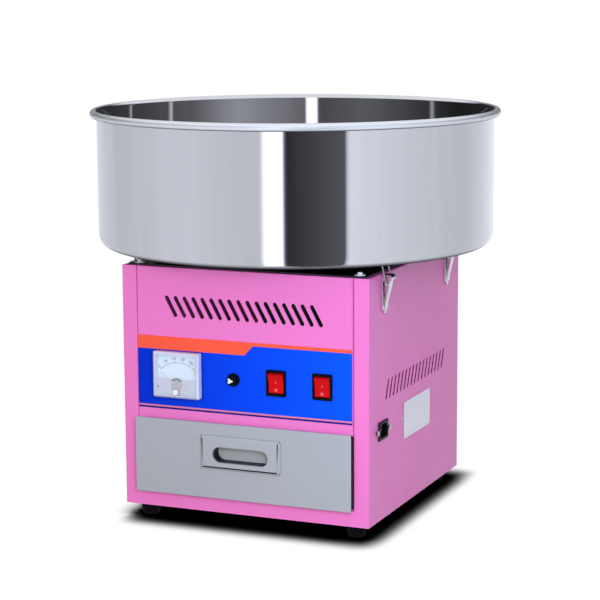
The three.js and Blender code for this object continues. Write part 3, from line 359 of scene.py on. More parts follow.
def slotted_ring(inner, outer, angles, levels, solid):
    """A ring made of cells between angles and levels, with walls only where a solid cell ends."""
    columns, rows = len(angles), len(levels) - 1
    verts = []
    for angle in angles:
        turn = math.radians(angle)
        for level in levels:
            for radius in (inner, outer):
                verts.append((radius * math.cos(turn), radius * math.sin(turn), level))

    def corner(column, row, side):
        return ((column % columns) * (rows + 1) + row) * 2 + side

    faces = []
    for i in range(columns):
        for j in range(rows):
            if not solid(i, j):
                continue
            a, b, c, d = (i, j), (i + 1, j), (i + 1, j + 1), (i, j + 1)
            faces.append(tuple(corner(*p, 1) for p in (a, b, c, d)))
            faces.append(tuple(corner(*p, 0) for p in (d, c, b, a)))
            edges = (((i, j - 1), a, b), ((i + 1, j), b, c), ((i, j + 1), c, d), ((i - 1, j), d, a))
            for (ni, nj), p, q in edges:
                if not (0 <= nj < rows and solid(ni % columns, nj)):
                    faces.append((corner(*p, 0), corner(*q, 0), corner(*q, 1), corner(*p, 1)))
    return verts, faces


def placed(part, matrix):
    verts, faces = part
    return [matrix @ Vector(v) for v in verts], faces


def all_placed(parts, matrix):
    return [placed(part, matrix) for part in parts]


def axes(u, v, w):
    return Matrix((u, v, w)).transposed().to_4x4()


# Ways to lay an outline: its third axis points up, to the front, to the back, or out of a side
LYING = Matrix.Identity(4)
FRONT = axes((1, 0, 0), (0, 0, 1), (0, -1, 0))
BACK = axes((-1, 0, 0), (0, 0, 1), (0, 1, 0))
RIGHT = axes((0, 1, 0), (0, 0, 1), (1, 0, 0))
HALF_TURN = Matrix.Rotation(math.pi, 4, "Z")


def shift(x, y, z):
    return Matrix.Translation(Vector((x, y, z)))


def tilt(degrees, axis):
    return Matrix.Rotation(math.radians(degrees), 4, axis)


# Materials

# The middle of a noise's range, and how far steel's streaks and waves are drawn out upwards
MIDDLE = (0.3, 0.7)
STREAKS, FINE_STREAKS, WAVES = (1, 1, 0.05), (1, 1, 0.03), (1, 1, 0.25)
WAVE_SCALE, BOWL_STREAK = 9, 60
# The rim's colour, and the near black painted on the bowl's underside as painted shade for the dark gap beneath it
RIM_COLOUR, UNDERSIDE_PAINTED_SHADE = (0.78, 0.78, 0.8), (0.03, 0.03, 0.034)


class Nodes:
    """A node tree in the making."""

    def __init__(self, tree):
        self.tree = tree

    def node(self, kind, **settings):
        made = self.tree.nodes.new(kind)
        for key, value in settings.items():
            setattr(made, key, value)
        return made

    def feed(self, socket, value):
        if isinstance(value, bpy.types.NodeSocket):
            self.tree.links.new(value, socket)
        else:
            socket.default_value = value

    def parts_of(self, vector):
        """The X, Y and Z of a vector, by name."""
        made = self.node("ShaderNodeSeparateXYZ")
        self.feed(made.inputs["Vector"], vector)
        return made.outputs

    def vector_maths(self, operation, *values):
        made = self.node("ShaderNodeVectorMath", operation=operation)
        for socket, given in zip(made.inputs, values):
            self.feed(socket, given)
        return made.outputs["Value" if operation == "DOT_PRODUCT" else "Vector"]

    def spread(self, value, low, high, to_low=0, to_high=1, interpolation="LINEAR"):
        ranged = self.node("ShaderNodeMapRange", interpolation_type=interpolation)
        for socket, given in zip(ranged.inputs, (value, low, high, to_low, to_high)):
            self.feed(socket, given)
        return ranged.outputs["Result"]

    def maths(self, operation, *values):
        made = self.node("ShaderNodeMath", operation=operation)
        for socket, given in zip(made.inputs, values):
            self.feed(socket, given)
        return made.outputs["Value"]

    def blend(self, factor, first, second):
        mix = self.node("ShaderNodeMix", data_type="RGBA")
        self.feed(mix.inputs["Factor"], factor)
        for name, value in (("A", first), ("B", second)):
            socket = next(s for s in mix.inputs if s.name == name and s.type == "RGBA")
            self.feed(socket, (*value, 1.0) if isinstance(value, tuple) else value)
        return next(s for s in mix.outputs if s.type == "RGBA")


class Surface(Nodes):
    """A material in the making, whose patterns lie in the row frame's own coordinates."""

    def __init__(self, name, roughness, metallic=0.0, alpha=1.0, specular=0.5):
        self.material = bpy.data.materials.new(name)
        self.material.use_nodes = True
        super().__init__(self.material.node_tree)
        self.shader = self.tree.nodes["Principled BSDF"]
        fixed = {
            "Roughness": roughness, "Metallic": metallic, "Alpha": alpha, "Specular IOR Level": specular,
        }
        for socket, value in fixed.items():
            self.shader.inputs[socket].default_value = value
        self.place = self.node("ShaderNodeTexCoord").outputs["Object"]

    def stretched(self, stretch):
        mapping = self.node("ShaderNodeMapping")
        self.feed(mapping.inputs["Vector"], self.place)
        self.feed(mapping.inputs["Scale"], stretch)
        return mapping.outputs["Vector"]

    def noise(self, scale, detail=2.0, stretch=(1, 1, 1)):
        texture = self.node("ShaderNodeTexNoise")
        self.feed(texture.inputs["Vector"], self.stretched(stretch))
        self.feed(texture.inputs["Scale"], scale)
        self.feed(texture.inputs["Detail"], detail)
        return texture.outputs["Fac"]

    def cells(self, scale):
        texture = self.node("ShaderNodeTexVoronoi")
        self.feed(texture.inputs["Vector"], self.place)
        self.feed(texture.inputs["Scale"], scale)
        parts = self.node("ShaderNodeSeparateColor")
        self.feed(parts.inputs["Color"], texture.outputs["Color"])
        return parts.outputs["Red"]

    def mottled(self, colour, amount, scale, stretch=(1, 1, 1)):
        darker = tuple(c * (1 - amount) for c in colour)
        lighter = tuple(min(c * (1 + amount), 1) for c in colour)
        return self.blend(self.spread(self.noise(scale, 3.0, stretch), *MIDDLE), darker, lighter)

    def set_colour(self, colour):
        self.feed(self.shader.inputs["Base Color"], colour)

    def vary_roughness(self, low, high, scale, stretch=(1, 1, 1)):
        level = self.spread(self.noise(scale, 3.0, stretch), *MIDDLE, low, high)
        self.feed(self.shader.inputs["Roughness"], level)

    def roughen(self, *layers, base=None):
        """Bumps, each as (height, depth in metres), over the faces' own normals or given ones."""
        normal = base
        for height, depth in layers:
            bump = self.node("ShaderNodeBump")
            self.feed(bump.inputs["Strength"], 1.0)
            self.feed(bump.inputs["Distance"], depth)
            self.feed(bump.inputs["Height"], height)
            if normal is not None:
                self.feed(bump.inputs["Normal"], normal)
            normal = bump.outputs["Normal"]
        self.feed(self.shader.inputs["Normal"], normal)


def plain_finish(name, colour, rough, metallic=0.0, mottle=0.05, patch=14, grain=700, depth=2e-5,
                 stretch=(1, 1, 1), alpha=1.0, specular=0.5):
    """Paint, rubber, plastic or cast metal: patches of shade and shine over a fine grain."""
    surface = Surface(name, rough[0], metallic, alpha, specular)
    surface.set_colour(surface.mottled(colour, mottle, patch))
    surface.vary_roughness(rough[0], rough[1], patch * 3, stretch)
    surface.roughen((surface.noise(grain, 2.0, stretch), depth))
    return surface.material


def sheet_steel(name, colour, rough, streak, streak_depth, wave_depth):
    """Polished sheet: faint upright streaks and slow waves that bend its reflections."""
    surface = Surface(name, rough[0], 1.0)
    surface.set_colour(surface.mottled(colour, 0.03, streak, STREAKS))
    surface.vary_roughness(rough[0], rough[1], streak, STREAKS)
    surface.roughen(
        (surface.noise(WAVE_SCALE, 1.0, WAVES), wave_depth),
        (surface.noise(streak, 2.0, FINE_STREAKS), streak_depth),
    )
    return surface.material


def bowl_steel(name, colour, rough, lean):
    """Spun steel: its inner wall leans outwards in shading, and its flat underside is rougher and painted dark as
    painted shade.
    """
    surface = Surface(name, rough[0], 1.0)
    facing = surface.node("ShaderNodeNewGeometry").outputs["Normal"]
    height = surface.parts_of(surface.place)["Z"]
    upright = surface.parts_of(facing)
    flat_place = surface.vector_maths("MULTIPLY", surface.place, (1, 1, 0))
    spoke = surface.vector_maths("NORMALIZE", flat_place)

    # -1 on the inner wall, 0 on level faces and 1 on the outer wall
    outward = surface.vector_maths("DOT_PRODUCT", facing, spoke)
    lift = surface.spread(outward, -1, -0.4, math.tan(math.radians(lean)), 0)
    outer = surface.spread(outward, 0.2, 0.6, 1, CORNER_TURN)
    corner_top = (BOWL_LOW[2] + BOWL_CORNER) * MM
    above = surface.spread(height, corner_top, corner_top + CORNER_FADE * MM, CORNER_TURN, 1)
    turned = surface.maths("MULTIPLY", upright["Z"], surface.maths("MAXIMUM", outer, above))
    leaning = surface.node("ShaderNodeCombineXYZ")
    for axis, value in zip("XYZ", (upright["X"], upright["Y"], surface.maths("ADD", turned, lift))):
        surface.feed(leaning.inputs[axis], value)
    unit = surface.vector_maths("NORMALIZE", leaning.outputs["Vector"])
    # Down-facing faces are painted near black: painted shade for the gap between the bowl and the deck
    painted_shade_under = surface.spread(upright["Z"], -0.6, -0.97)
    bright = surface.mottled(colour, 0.03, BOWL_STREAK, STREAKS)
    streaks = surface.spread(surface.noise(BOWL_STREAK, 3.0, STREAKS), *MIDDLE, rough[0], rough[1])
    rim_start = (BOWL_HIGH[2] - RIM_BEAD) * MM
    upper = surface.spread(height, rim_start, rim_start + RIM_FADE * MM)
    on_rim = surface.maths("MULTIPLY", upper, surface.spread(outward, -0.8, -0.4))
    dull = surface.maths("MAXIMUM", painted_shade_under, surface.maths("MULTIPLY", on_rim, 0.3))
    surface.feed(surface.shader.inputs["Metallic"], surface.spread(on_rim, 0, 1, 1, 0.55))
    rim_lit = surface.blend(on_rim, bright, RIM_COLOUR)
    surface.set_colour(surface.blend(painted_shade_under, rim_lit, UNDERSIDE_PAINTED_SHADE))
    surface.feed(surface.shader.inputs["Roughness"], surface.maths("MAXIMUM", streaks, dull))
    surface.roughen(
        (surface.noise(WAVE_SCALE, 1.0, WAVES), 1.2e-5),
        (surface.noise(BOWL_STREAK, 2.0, FINE_STREAKS), 1e-6),
        base=unit,
    )
    return surface.material


def zinc_sheet(name, colour, rough):
    """Galvanised sheet, with its flakes of different brightness."""
    surface = Surface(name, rough[0], 0.9)
    flakes = surface.cells(110)
    surface.set_colour(surface.blend(flakes, tuple(c * 0.82 for c in colour), colour))
    surface.feed(surface.shader.inputs["Roughness"], surface.spread(flakes, 0, 1, rough[0], rough[1]))
    surface.roughen((surface.noise(260, 3.0), 3e-5))
    return surface.material


def printed_film(name):
    """The film behind the controls: blue, painted lighter towards the right as painted light, with an orange band
    at the top that steps down on its left.
    """
    blue_left, blue_painted_lit_right = (0.0012, 0.028, 0.56), (0.003, 0.09, 1.0)
    orange, deep_blue, pale_line = (1.0, 0.11, 0.055), (0.002, 0.01, 0.2), (0.75, 0.2, 0.3)
    step_low, step_high = ((FILM_LOW[2] + level) * MM for level in BAND_LEVELS)
    step_start, step_end = (x * MM for x in BAND_STEP)
    line_low, line_high = ((FILM_LOW[2] + level) * MM for level in FILM_LINE)
    surface = Surface(name, 0.42, specular=0.07)
    parts = surface.parts_of(surface.place)
    x, z = parts["X"], parts["Z"]
    # The blue is painted lighter from left to right: painted light across the film
    across = surface.spread(x, -STRIP_EDGE * MM, STRIP_EDGE * MM)
    colour = surface.blend(across, blue_left, blue_painted_lit_right)
    colour = surface.blend(surface.maths("LESS_THAN", z, line_low), colour, deep_blue)
    band_edge = surface.spread(x, step_start, step_end, step_low, step_high)
    in_band = surface.maths("GREATER_THAN", z, band_edge)
    above = surface.maths("GREATER_THAN", z, line_low)
    below = surface.maths("LESS_THAN", z, line_high)
    in_line = surface.maths("MULTIPLY", above, below)
    colour = surface.blend(in_band, colour, orange)
    colour = surface.blend(in_line, colour, pale_line)
    grain = surface.spread(surface.noise(500, 2.0), *MIDDLE, 0, 0.1)
    surface.set_colour(surface.blend(grain, colour, (0, 0, 0)))
    surface.vary_roughness(0.36, 0.46, 40)
    surface.roughen((surface.noise(1400, 1.0), 8e-6))
    return surface.material


# Plain finishes, as (colour, roughness from and to, further settings)
PLAIN_FINISHES = {
    "pink_paint": ((0.84, 0.185, 0.51), (0.3, 0.38), dict(mottle=0.012, patch=6, grain=420, depth=1e-5)),
    "grey_paint": ((0.39, 0.385, 0.4), (0.42, 0.5), dict(mottle=0.02, patch=6, grain=420, depth=1.2e-5)),
    "black_rubber": ((0.003, 0.003, 0.004), (0.7, 0.9), dict(mottle=0.2, depth=6e-5, specular=0.1)),
    "black_plastic": ((0.003, 0.003, 0.0035), (0.3, 0.42), dict(mottle=0.15, grain=900, specular=0.1)),
    "clear_plastic": ((0.86, 0.9, 0.94), (0.04, 0.09), dict(mottle=0.01, depth=3e-6, alpha=0.16)),
    # The cover's clear rim, drawn paler and nearly opaque: painted sheen for the light its bevels catch
    "clear_edge_painted_sheen": ((0.72, 0.72, 0.88), (0.08, 0.14), dict(mottle=0.02, depth=3e-6, alpha=0.85)),
    "white_card": ((0.78, 0.85, 0.95), (0.6, 0.75), dict(mottle=0.02, depth=1e-5)),
    "frosted_mask": ((0.56, 0.52, 0.62), (0.35, 0.5), dict(mottle=0.08, patch=60, depth=1e-5)),
    # A darker copy of the frosted mask: painted shade on the dome over the needle's pivot
    "mask_dome_painted_shade": ((0.42, 0.33, 0.36), (0.3, 0.45), dict(mottle=0.1, patch=60, depth=1e-5)),
    "scale_ink": ((0.008, 0.008, 0.012), (0.5, 0.6), dict(mottle=0.2, depth=2e-6)),
    "mark_paint": ((0.78, 0.3, 0.3), (0.4, 0.5), dict(mottle=0.1, depth=2e-6)),
    "needle_paint": ((0.75, 0.22, 0.26), (0.4, 0.5), dict(mottle=0.1, depth=2e-6)),
    "white_plastic": ((0.82, 0.82, 0.8), (0.3, 0.4), dict(mottle=0.02)),
    "red_plastic": (
        (0.62, 0.003, 0.004), (0.2, 0.3),
        dict(mottle=0.08, patch=30, grain=600, depth=6e-6, specular=0.12),
    ),
    "fuse_glass": ((0.8, 0.86, 0.86), (0.03, 0.08), dict(mottle=0.02, depth=2e-6, alpha=0.45)),
    "white_zinc": ((0.8, 0.8, 0.83), (0.3, 0.5), dict(metallic=0.2, mottle=0.06)),
    "plate_foil": (
        (0.83, 0.84, 0.87), (0.3, 0.42),
        dict(metallic=0.6, mottle=0.03, patch=30, grain=900, depth=6e-6, stretch=(1, 0.06, 1)),
    ),
    "latch_steel": (
        (0.78, 0.76, 0.79), (0.16, 0.28),
        dict(metallic=1.0, mottle=0.05, patch=80, depth=8e-6),
    ),
    "cast_aluminium": (
        (0.58, 0.59, 0.61), (0.3, 0.45),
        dict(metallic=1.0, mottle=0.08, patch=40, grain=420, depth=5e-5),
    ),
    "slip_rings": (
        (0.72, 0.36, 0.17), (0.2, 0.4),
        dict(metallic=1.0, mottle=0.12, patch=60, depth=1e-5, stretch=(0.05, 0.05, 1)),
    ),
    "carbon_block": ((0.02, 0.018, 0.017), (0.5, 0.7), dict(mottle=0.2, depth=4e-5)),
    "motor_shell": (
        (0.05, 0.055, 0.065), (0.38, 0.55),
        dict(metallic=0.2, mottle=0.1, patch=20, depth=3e-5),
    ),
    "heater_alloy": (
        (0.2, 0.165, 0.14), (0.45, 0.65),
        dict(metallic=0.9, mottle=0.25, patch=70, depth=3e-5),
    ),
}
MATERIALS = {
    name: plain_finish(name, colour, rough, **settings)
    for name, (colour, rough, settings) in PLAIN_FINISHES.items()
}
MATERIALS.update({
    "control_film": printed_film("control_film"),
    "polished_steel": sheet_steel("polished_steel", (0.74, 0.75, 0.78), (0.05, 0.1), 60, 2e-6, 2.4e-5),
    "bowl_steel": bowl_steel("bowl_steel", (0.74, 0.75, 0.78), (0.03, 0.06), 12),
    # Steel painted near black: painted shade for the deck in the gap under the bowl
    "steel_in_painted_shade": sheet_steel("steel_in_painted_shade", (0.1, 0.1, 0.105), (0.3, 0.45), 60, 2e-6, 2e-5),
    "catch_steel": sheet_steel("catch_steel", (0.7, 0.71, 0.74), (0.12, 0.2), 90, 3e-6, 2e-5),
    "zinc_steel": zinc_sheet("zinc_steel", (0.62, 0.64, 0.67), (0.28, 0.46)),
})


# Pieces


def add_object(name, data):
    obj = bpy.data.objects.new(name, data)
    bpy.context.scene.collection.objects.link(obj)
    return obj


def piece(name, parts, finish, stands_for=(), body=None, sharp=32):
    """One visible piece from closed parts in millimetres."""
    mesh = bpy.data.meshes.new(name)
    shape = bmesh.new()
    for verts, faces in parts:
        made = [shape.verts.new(Vector(v) * MM) for v in verts]
        for face in faces:
            shape.faces.new([made[i] for i in face])
        bmesh.ops.remove_doubles(shape, verts=made, dist=1e-7)
    bmesh.ops.recalc_face_normals(shape, faces=shape.faces)
    shape.to_mesh(mesh)
    shape.free()
    mesh.polygons.foreach_set("use_smooth", [True] * len(mesh.polygons))
    mesh.set_sharp_from_angle(angle=math.radians(sharp))
    obj = add_object(name, mesh)
    obj.modifiers.new("even_faces", "WEIGHTED_NORMAL").keep_sharp = True
    mesh.materials.append(MATERIALS[finish])
    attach(obj, body or BODY_OF[stands_for[0]])
    if stands_for:
        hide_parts(*stands_for)


def skin(node, parts, finish, sharp=32):
    """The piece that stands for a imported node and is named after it."""
    piece(f"{node}_skin", parts, finish, [node], sharp=sharp)


def keep_node(name, finish, edge=0.3):
    """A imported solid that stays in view, with its edges broken and its material set."""
    obj = NODES[name]
    mesh = obj.data
    mesh.materials.clear()
    mesh.materials.append(MATERIALS[finish])
    mesh.polygons.foreach_set("use_smooth", [True] * len(mesh.polygons))
    if edge:
        obj.modifiers.new("joined", "WELD").merge_threshold = 1e-6
        flat = obj.modifiers.new("flat_faces", "DECIMATE")
        flat.decimate_type = "DISSOLVE"
        flat.angle_limit = math.radians(1)
        soft = obj.modifiers.new("broken_edges", "BEVEL")
        soft.width = edge * MM
        soft.segments = 2
        soft.limit_method = "ANGLE"
        soft.angle_limit = math.radians(40)
        soft.use_clamp_overlap = True
        obj.modifiers.new("even_faces", "WEIGHTED_NORMAL").keep_sharp = False


def make_side_panel(side, holes):
    """A side with its strips folded round, drawn on the right and turned half round for the left."""
    wall_top, reach = CABINET_TOP - BEND, HALF_DEPTH - BEND
    wall = slab(
        rectangle(-reach, reach, CABINET_BOTTOM, wall_top),
        HALF_WIDTH - SHEET / 2, HALF_WIDTH, holes, hole_edge=(0.1, 0.1, 1),
    )
    parts = [placed(wall, RIGHT)]
    strip = bent_sheet(
        [(STRIP_EDGE, -HALF_DEPTH + FLANGE), (STRIP_EDGE, -HALF_DEPTH), (HALF_WIDTH, -HALF_DEPTH),
         (HALF_WIDTH, -HALF_DEPTH + BEND + JOIN)],
        SHEET, BEND,
    )
    corner = slab(strip, CABINET_BOTTOM, CABINET_TOP, edge=FINE)
    parts.append(corner)
    parts.append(placed(corner, Matrix.Scale(-1, 4, (0, 1, 0))))
    top = bent_sheet(
        [(HALF_WIDTH, wall_top - JOIN), (HALF_WIDTH, CABINET_TOP), (HALF_WIDTH - TOP_FLANGE, CABINET_TOP)],
        SHEET, BEND,
    )
    parts.append(placed(slab(top, -reach, reach), FRONT))
    if side == "left":
        parts = all_placed(parts, HALF_TURN)
    skin(f"side_panel_{side}", parts, "pink_paint")


def make_sides():
    _, y, z = middle_mm("power_inlet")
    reach_y, reach_z = (v / 2 + FIT for v in INLET_BODY)
    socket_hole = round_rect(y - reach_y, y + reach_y, z - reach_z, z + reach_z, 1)
    make_side_panel("right", slot_row(SLOT_COUNT, **SIDE_SLOT, mirror=-1) + [socket_hole])
    make_side_panel("left", slot_row(SLOT_COUNT, **SIDE_SLOT))


def control_holes():
    half_width, half_height = SWITCH_BODY[0] / 2 + FIT, SWITCH_BODY[1] / 2 + FIT
    return [circle(METER_X, CONTROL_LEVEL, METER_HOLE), circle(FUSE_X, SWITCH_LEVEL, FUSE_HOLE, 32)] + [
        round_rect(x - half_width, x + half_width, SWITCH_LEVEL - half_height,
                   SWITCH_LEVEL + half_height, 0.5, 2)
        for x in (HEAT_X, POWER_X)
    ]


def make_face(name, way, holes):
    """A face sheet with its edges folded in."""
    bottom = box_mm(name)[0][2]
    face = slab(
        round_rect(-PANEL_EDGE, PANEL_EDGE, bottom, CABINET_TOP, 0.5, 2),
        HALF_DEPTH - SHEET, HALF_DEPTH, holes, edge=(1, 1, 4), hole_edge=FINE,
    )
    inner = HALF_DEPTH - FLANGE
    edges = [
        (PANEL_EDGE - SHEET, PANEL_EDGE, bottom + 1, CABINET_TOP - 1, inner),
        (-PANEL_EDGE, -PANEL_EDGE + SHEET, bottom + 1, CABINET_TOP - 1, inner),
        (-PANEL_EDGE + 1, PANEL_EDGE - 1, bottom, bottom + SHEET, inner),
        (-PANEL_EDGE + 1, PANEL_EDGE - 1, CABINET_TOP - SHEET, CABINET_TOP, HALF_DEPTH - TOP_FLANGE),
    ]
    flanges = [
        slab(rectangle(*sides), start, HALF_DEPTH - 0.9)
        for *sides, start in edges
    ]
    skin(name, all_placed([face, *flanges], way), "pink_paint")


def make_faces():
    make_face("front_panel", FRONT, slot_row(SLOT_COUNT, **FRONT_SLOT) + control_holes())
    make_face("back_panel", BACK, slot_row(BACK_SLOT_COUNT, **BACK_SLOT))
    keep_node("base_pan", "pink_paint", 0.6)
    reach = STRIP_EDGE + BEND
    rail = slab(rectangle(-reach, reach, CABINET_BOTTOM, CABINET_BOTTOM + RAIL_HEIGHT),
                HALF_DEPTH - 1, HALF_DEPTH + RAIL_PROUD)
    piece("rail_face", [placed(rail, FRONT)], "pink_paint", body="cabinet")
    keep_node("control_overlay", "control_film", 0)
    keep_node("drawer_tunnel", "zinc_steel", 0)


def round_pad(node, low_end, high_end, slope, steps, sides):
    """A turned rubber pad in a node's place, each end given as (radius, rounding of its edge)."""
    x, y, _ = middle_mm(node)
    base, top = (corner[2] for corner in box_mm(node))
    (tip, tip_edge), (head, head_edge) = low_end, high_end
    profile = [
        (0, base), *arc(tip - tip_edge, base + tip_edge, tip_edge, -90, slope, steps),
        *arc(head - head_edge, top - head_edge, head_edge, slope, 90, steps), (0, top),
    ]
    skin(node, [placed(lathe(profile, sides), shift(x, y, 0))], "black_rubber")


def make_feet():
    for end in ("front", "back"):
        for side in ("left", "right"):
            round_pad(f"foot_{end}_{side}", (FOOT_TIP, 1.5), (FOOT_TOP, 0.8), -14, 5, 48)
            bumper_end = (BUMPER_RADIUS, 1)
            round_pad(f"bowl_bumper_{end}_{side}", bumper_end, bumper_end, 0, 4, 40)


def make_deck_and_bowl():
    plate = slab(
        round_rect(DECK_LOW[0], DECK_HIGH[0], DECK_LOW[1], DECK_HIGH[1], 2.5),
        DECK_LOW[2], DECK_HIGH[2], [circle(0, 0, DECK_HOLE, 64)], edge=ROUND, hole_edge=ROUND,
    )
    # The deck is drawn in steel painted near black, as painted shade under the bowl
    skin("deck_plate", [plate], "steel_in_painted_shade")
    bolt = lathe([(0, -0.1), (6.5, -0.1), (6.5, 0.9), (3.2, 1.1), (3, 3.6), (0, 4)], 24)
    bolts = [
        placed(bolt, shift(x, y, DECK_HIGH[2]))
        for x in (-DECK_BOLT_X, DECK_BOLT_X) for y in (-DECK_BOLT_Y, DECK_BOLT_Y)
    ]
    piece("deck_bolts", bolts, "white_zinc", body="cabinet")

    bottom, top, rim = BOWL_LOW[2], BOWL_HIGH[2], BOWL_HIGH[0]
    floor = bottom + SHEET
    inner = BOWL_WALL - SHEET
    bead = (rim - inner) / 2
    bead_x, bead_z = inner + bead, top - bead
    bead_start = -math.degrees(math.acos((BOWL_WALL - bead_x) / bead))
    bend_x, bend_z = BOWL_WALL - BOWL_BEND, bottom + BOWL_BEND
    neck_outer = BOWL_NECK + SHEET
    profile = [
        (BOWL_NECK, bottom),
        *arc(bend_x, bend_z, BOWL_BEND, -90, 0, 12),
        *arc(bead_x, bead_z, bead, bead_start, 180, 22),
        *arc(bend_x, bend_z, BOWL_BEND - SHEET, 0, -90, 12),
        *arc(neck_outer + NECK_FILLET, floor + NECK_FILLET, NECK_FILLET, -90, -180, 6),
        *arc(neck_outer - SHEET / 2, floor + NECK_HEIGHT - SHEET / 2, SHEET / 2, 0, 180, 6),
    ]
    skin("floss_bowl", [lathe(profile, 288)], "bowl_steel", sharp=50)


# Drawer


def make_drawer():
    low, high = box_mm("drawer_front")
    pull_low, pull_high = box_mm("drawer_pull")
    slot_drop, slot_width, slot_height, cup_wall = 38.6, 74.5, 19.5, 1.2
    slot_level = high[2] - slot_drop
    margin = cup_wall + FIT
    front = slab(
        round_rect(low[0], high[0], low[2], high[2], 0.8, 3), -high[1], -low[1],
        [lying_slot(slot_level, slot_width + 2 * margin, slot_height + 2 * margin)],
        edge=(0.5, 0.5, 3), base_edge=(0.3, 0.3, 2),
    )
    skin("drawer_front", [placed(front, FRONT)], "grey_paint")

    face, back = -pull_low[1], -low[1] - 0.05
    cup_end = -pull_high[1]
    inner = lying_slot(slot_level, slot_width, slot_height)
    outer = lying_slot(slot_level, slot_width + 2 * cup_wall, slot_height + 2 * cup_wall)
    plate = slab(
        round_rect(pull_low[0], pull_high[0], pull_low[2], pull_high[2], 1.2, 3), back, face, [inner],
        edge=(3.2, 1.6, 1), hole_edge=(0.9, 0.9, 4),
    )
    cup = slab(outer, cup_end + cup_wall, back + 0.2, [inner])
    cup_floor = slab(outer, cup_end, cup_end + cup_wall + JOIN)
    skin("drawer_pull", all_placed([plate, cup_floor], FRONT), "grey_paint")
    # The cup's walls are black as painted shade for the deep recess behind the slot; its floor stays grey
    piece("drawer_pull_wall_painted_shade", [placed(cup, FRONT)], "black_plastic", body=BODY_OF["drawer_pull"])
    keep_node("drawer_tray", "zinc_steel", 0.3)


# Panel meter


def stroke(points, width, low, high):
    """A thin printed line through points."""
    parts = []
    for (x0, y0), (x1, y1) in zip(points, points[1:]):
        along = Vector((x1 - x0, y1 - y0)).normalized() * width / 2
        side = Vector((-along.y, along.x))
        a, b = Vector((x0, y0)) - along, Vector((x1, y1)) + along
        corners = [a - side, b - side, b + side, a + side]
        parts.append(slab([(p.x, p.y) for p in corners], low, high))
    return parts


DIGITS = {
    "0": [(0, 0), (1, 0), (1, 2), (0, 2), (0, 0)],
    "1": [(0.5, 0), (0.5, 2)],
    "2": [(0, 2), (1, 2), (1, 1), (0, 1), (0, 0), (1, 0)],
    "5": [(1, 2), (0, 2), (0, 1), (1, 1), (1, 0), (0, 0)],
}


def number(text, x, y, turn, size, low, high):
    """A plain number about a point, its digits drawn in strokes."""
    parts = []
    step = 1.5
    for i, digit in enumerate(text):
        left = (i - len(text) / 2) * step + 0.25
        points = []
        for px, py in DIGITS[digit]:
            dx, dy = rotated((left + px) * size, (py - 1) * size, turn)
            points.append((x + dx, y + dy))
        parts += stroke(points, size * 0.3, low, high)
    return parts


METER_PLACE = FRONT @ shift(METER_X, CONTROL_LEVEL, 0)
METER_LOW, METER_HIGH = box_mm("meter_cover")
METER_HALF_X = (METER_HIGH[0] - METER_LOW[0]) / 2
METER_HALF_Y = (METER_HIGH[2] - METER_LOW[2]) / 2
CARD_BACK = SEAT + 2 + FIT
CARD_FACE = CARD_BACK + 0.6
NEEDLE_LEVEL = pivot_mm("needle_swing")[2] - CONTROL_LEVEL
SCREW_LEVEL = pivot_mm("zero_turn")[2] - CONTROL_LEVEL


def make_dial():
    keep_node("meter_case", "black_plastic", 0.4)
    card_margin = 1.9
    card = slab(centred(METER_HALF_X - card_margin, METER_HALF_Y - card_margin, 1, 3), CARD_BACK, CARD_FACE)
    stud_start, stud_end = CARD_BACK + 0.2, front_and_back("meter_dial")[0]
    stud = lathe([(0, stud_start), (1, stud_start), (1, stud_end), (0, stud_end)], 20)
    parts = [card, placed(stud, shift(0, NEEDLE_LEVEL, 0))]
    skin("meter_dial", all_placed(parts, METER_PLACE), "white_card")

    ink, ink_top = CARD_FACE - 0.02, CARD_FACE + 0.08
    radius, line_width, half_sweep = 35.2, 0.35, 42
    marks, marks_per_number, numbers = 25, 5, ("0", "50", "100", "150", "200", "250")
    line = arc(0, NEEDLE_LEVEL, radius, 90 + half_sweep, 90 - half_sweep, 48)
    rim = arc(0, NEEDLE_LEVEL, radius + line_width, 90 - half_sweep, 90 + half_sweep, 48)
    parts = [slab(line + rim, ink, ink_top)]
    for i in range(marks + 1):
        angle = 90 + half_sweep - 2 * half_sweep * i / marks
        length, width = (1.7, 0.28) if i % marks_per_number else (3, 0.5)
        ends = [rotated(r, 0, angle) for r in (radius, radius + length)]
        parts += stroke([(x, y + NEEDLE_LEVEL) for x, y in ends], width, ink, ink_top)
    for i, text in enumerate(numbers):
        angle = half_sweep - 2 * half_sweep * i / (len(numbers) - 1)
        x, y = rotated(0, radius + 5.4, angle)
        parts += number(text, x, y + NEEDLE_LEVEL, angle, 1.35, ink, ink_top)
    piece("meter_scale", all_placed(parts, METER_PLACE), "scale_ink", body="cabinet")


def make_cover():
    face, rim_wall, window, screw_hole = -METER_LOW[1], 3.4, 2.6, 3.8
    inner_x, inner_y = METER_HALF_X - rim_wall, METER_HALF_Y - rim_wall
    # The rim is clear plastic drawn pale and nearly opaque, as painted sheen on its bevels
    rim = slab(centred(METER_HALF_X, METER_HALF_Y, 1.6), CARD_BACK, face, [centred(inner_x, inner_y, 1)],
               edge=(2.3, 2.3, 1), hole_edge=(0.2, 0.2, 1))
    piece("meter_cover_rim", [placed(rim, METER_PLACE)], "clear_edge_painted_sheen", ["meter_cover"])
    pane = slab(centred(inner_x + LAP, inner_y + LAP, 1), face - window, face - 0.15,
                [circle(0, SCREW_LEVEL, screw_hole, 32)], hole_edge=ROUND)
    piece("meter_cover_pane", [placed(pane, METER_PLACE)], "clear_plastic", body=BODY_OF["meter_cover"])


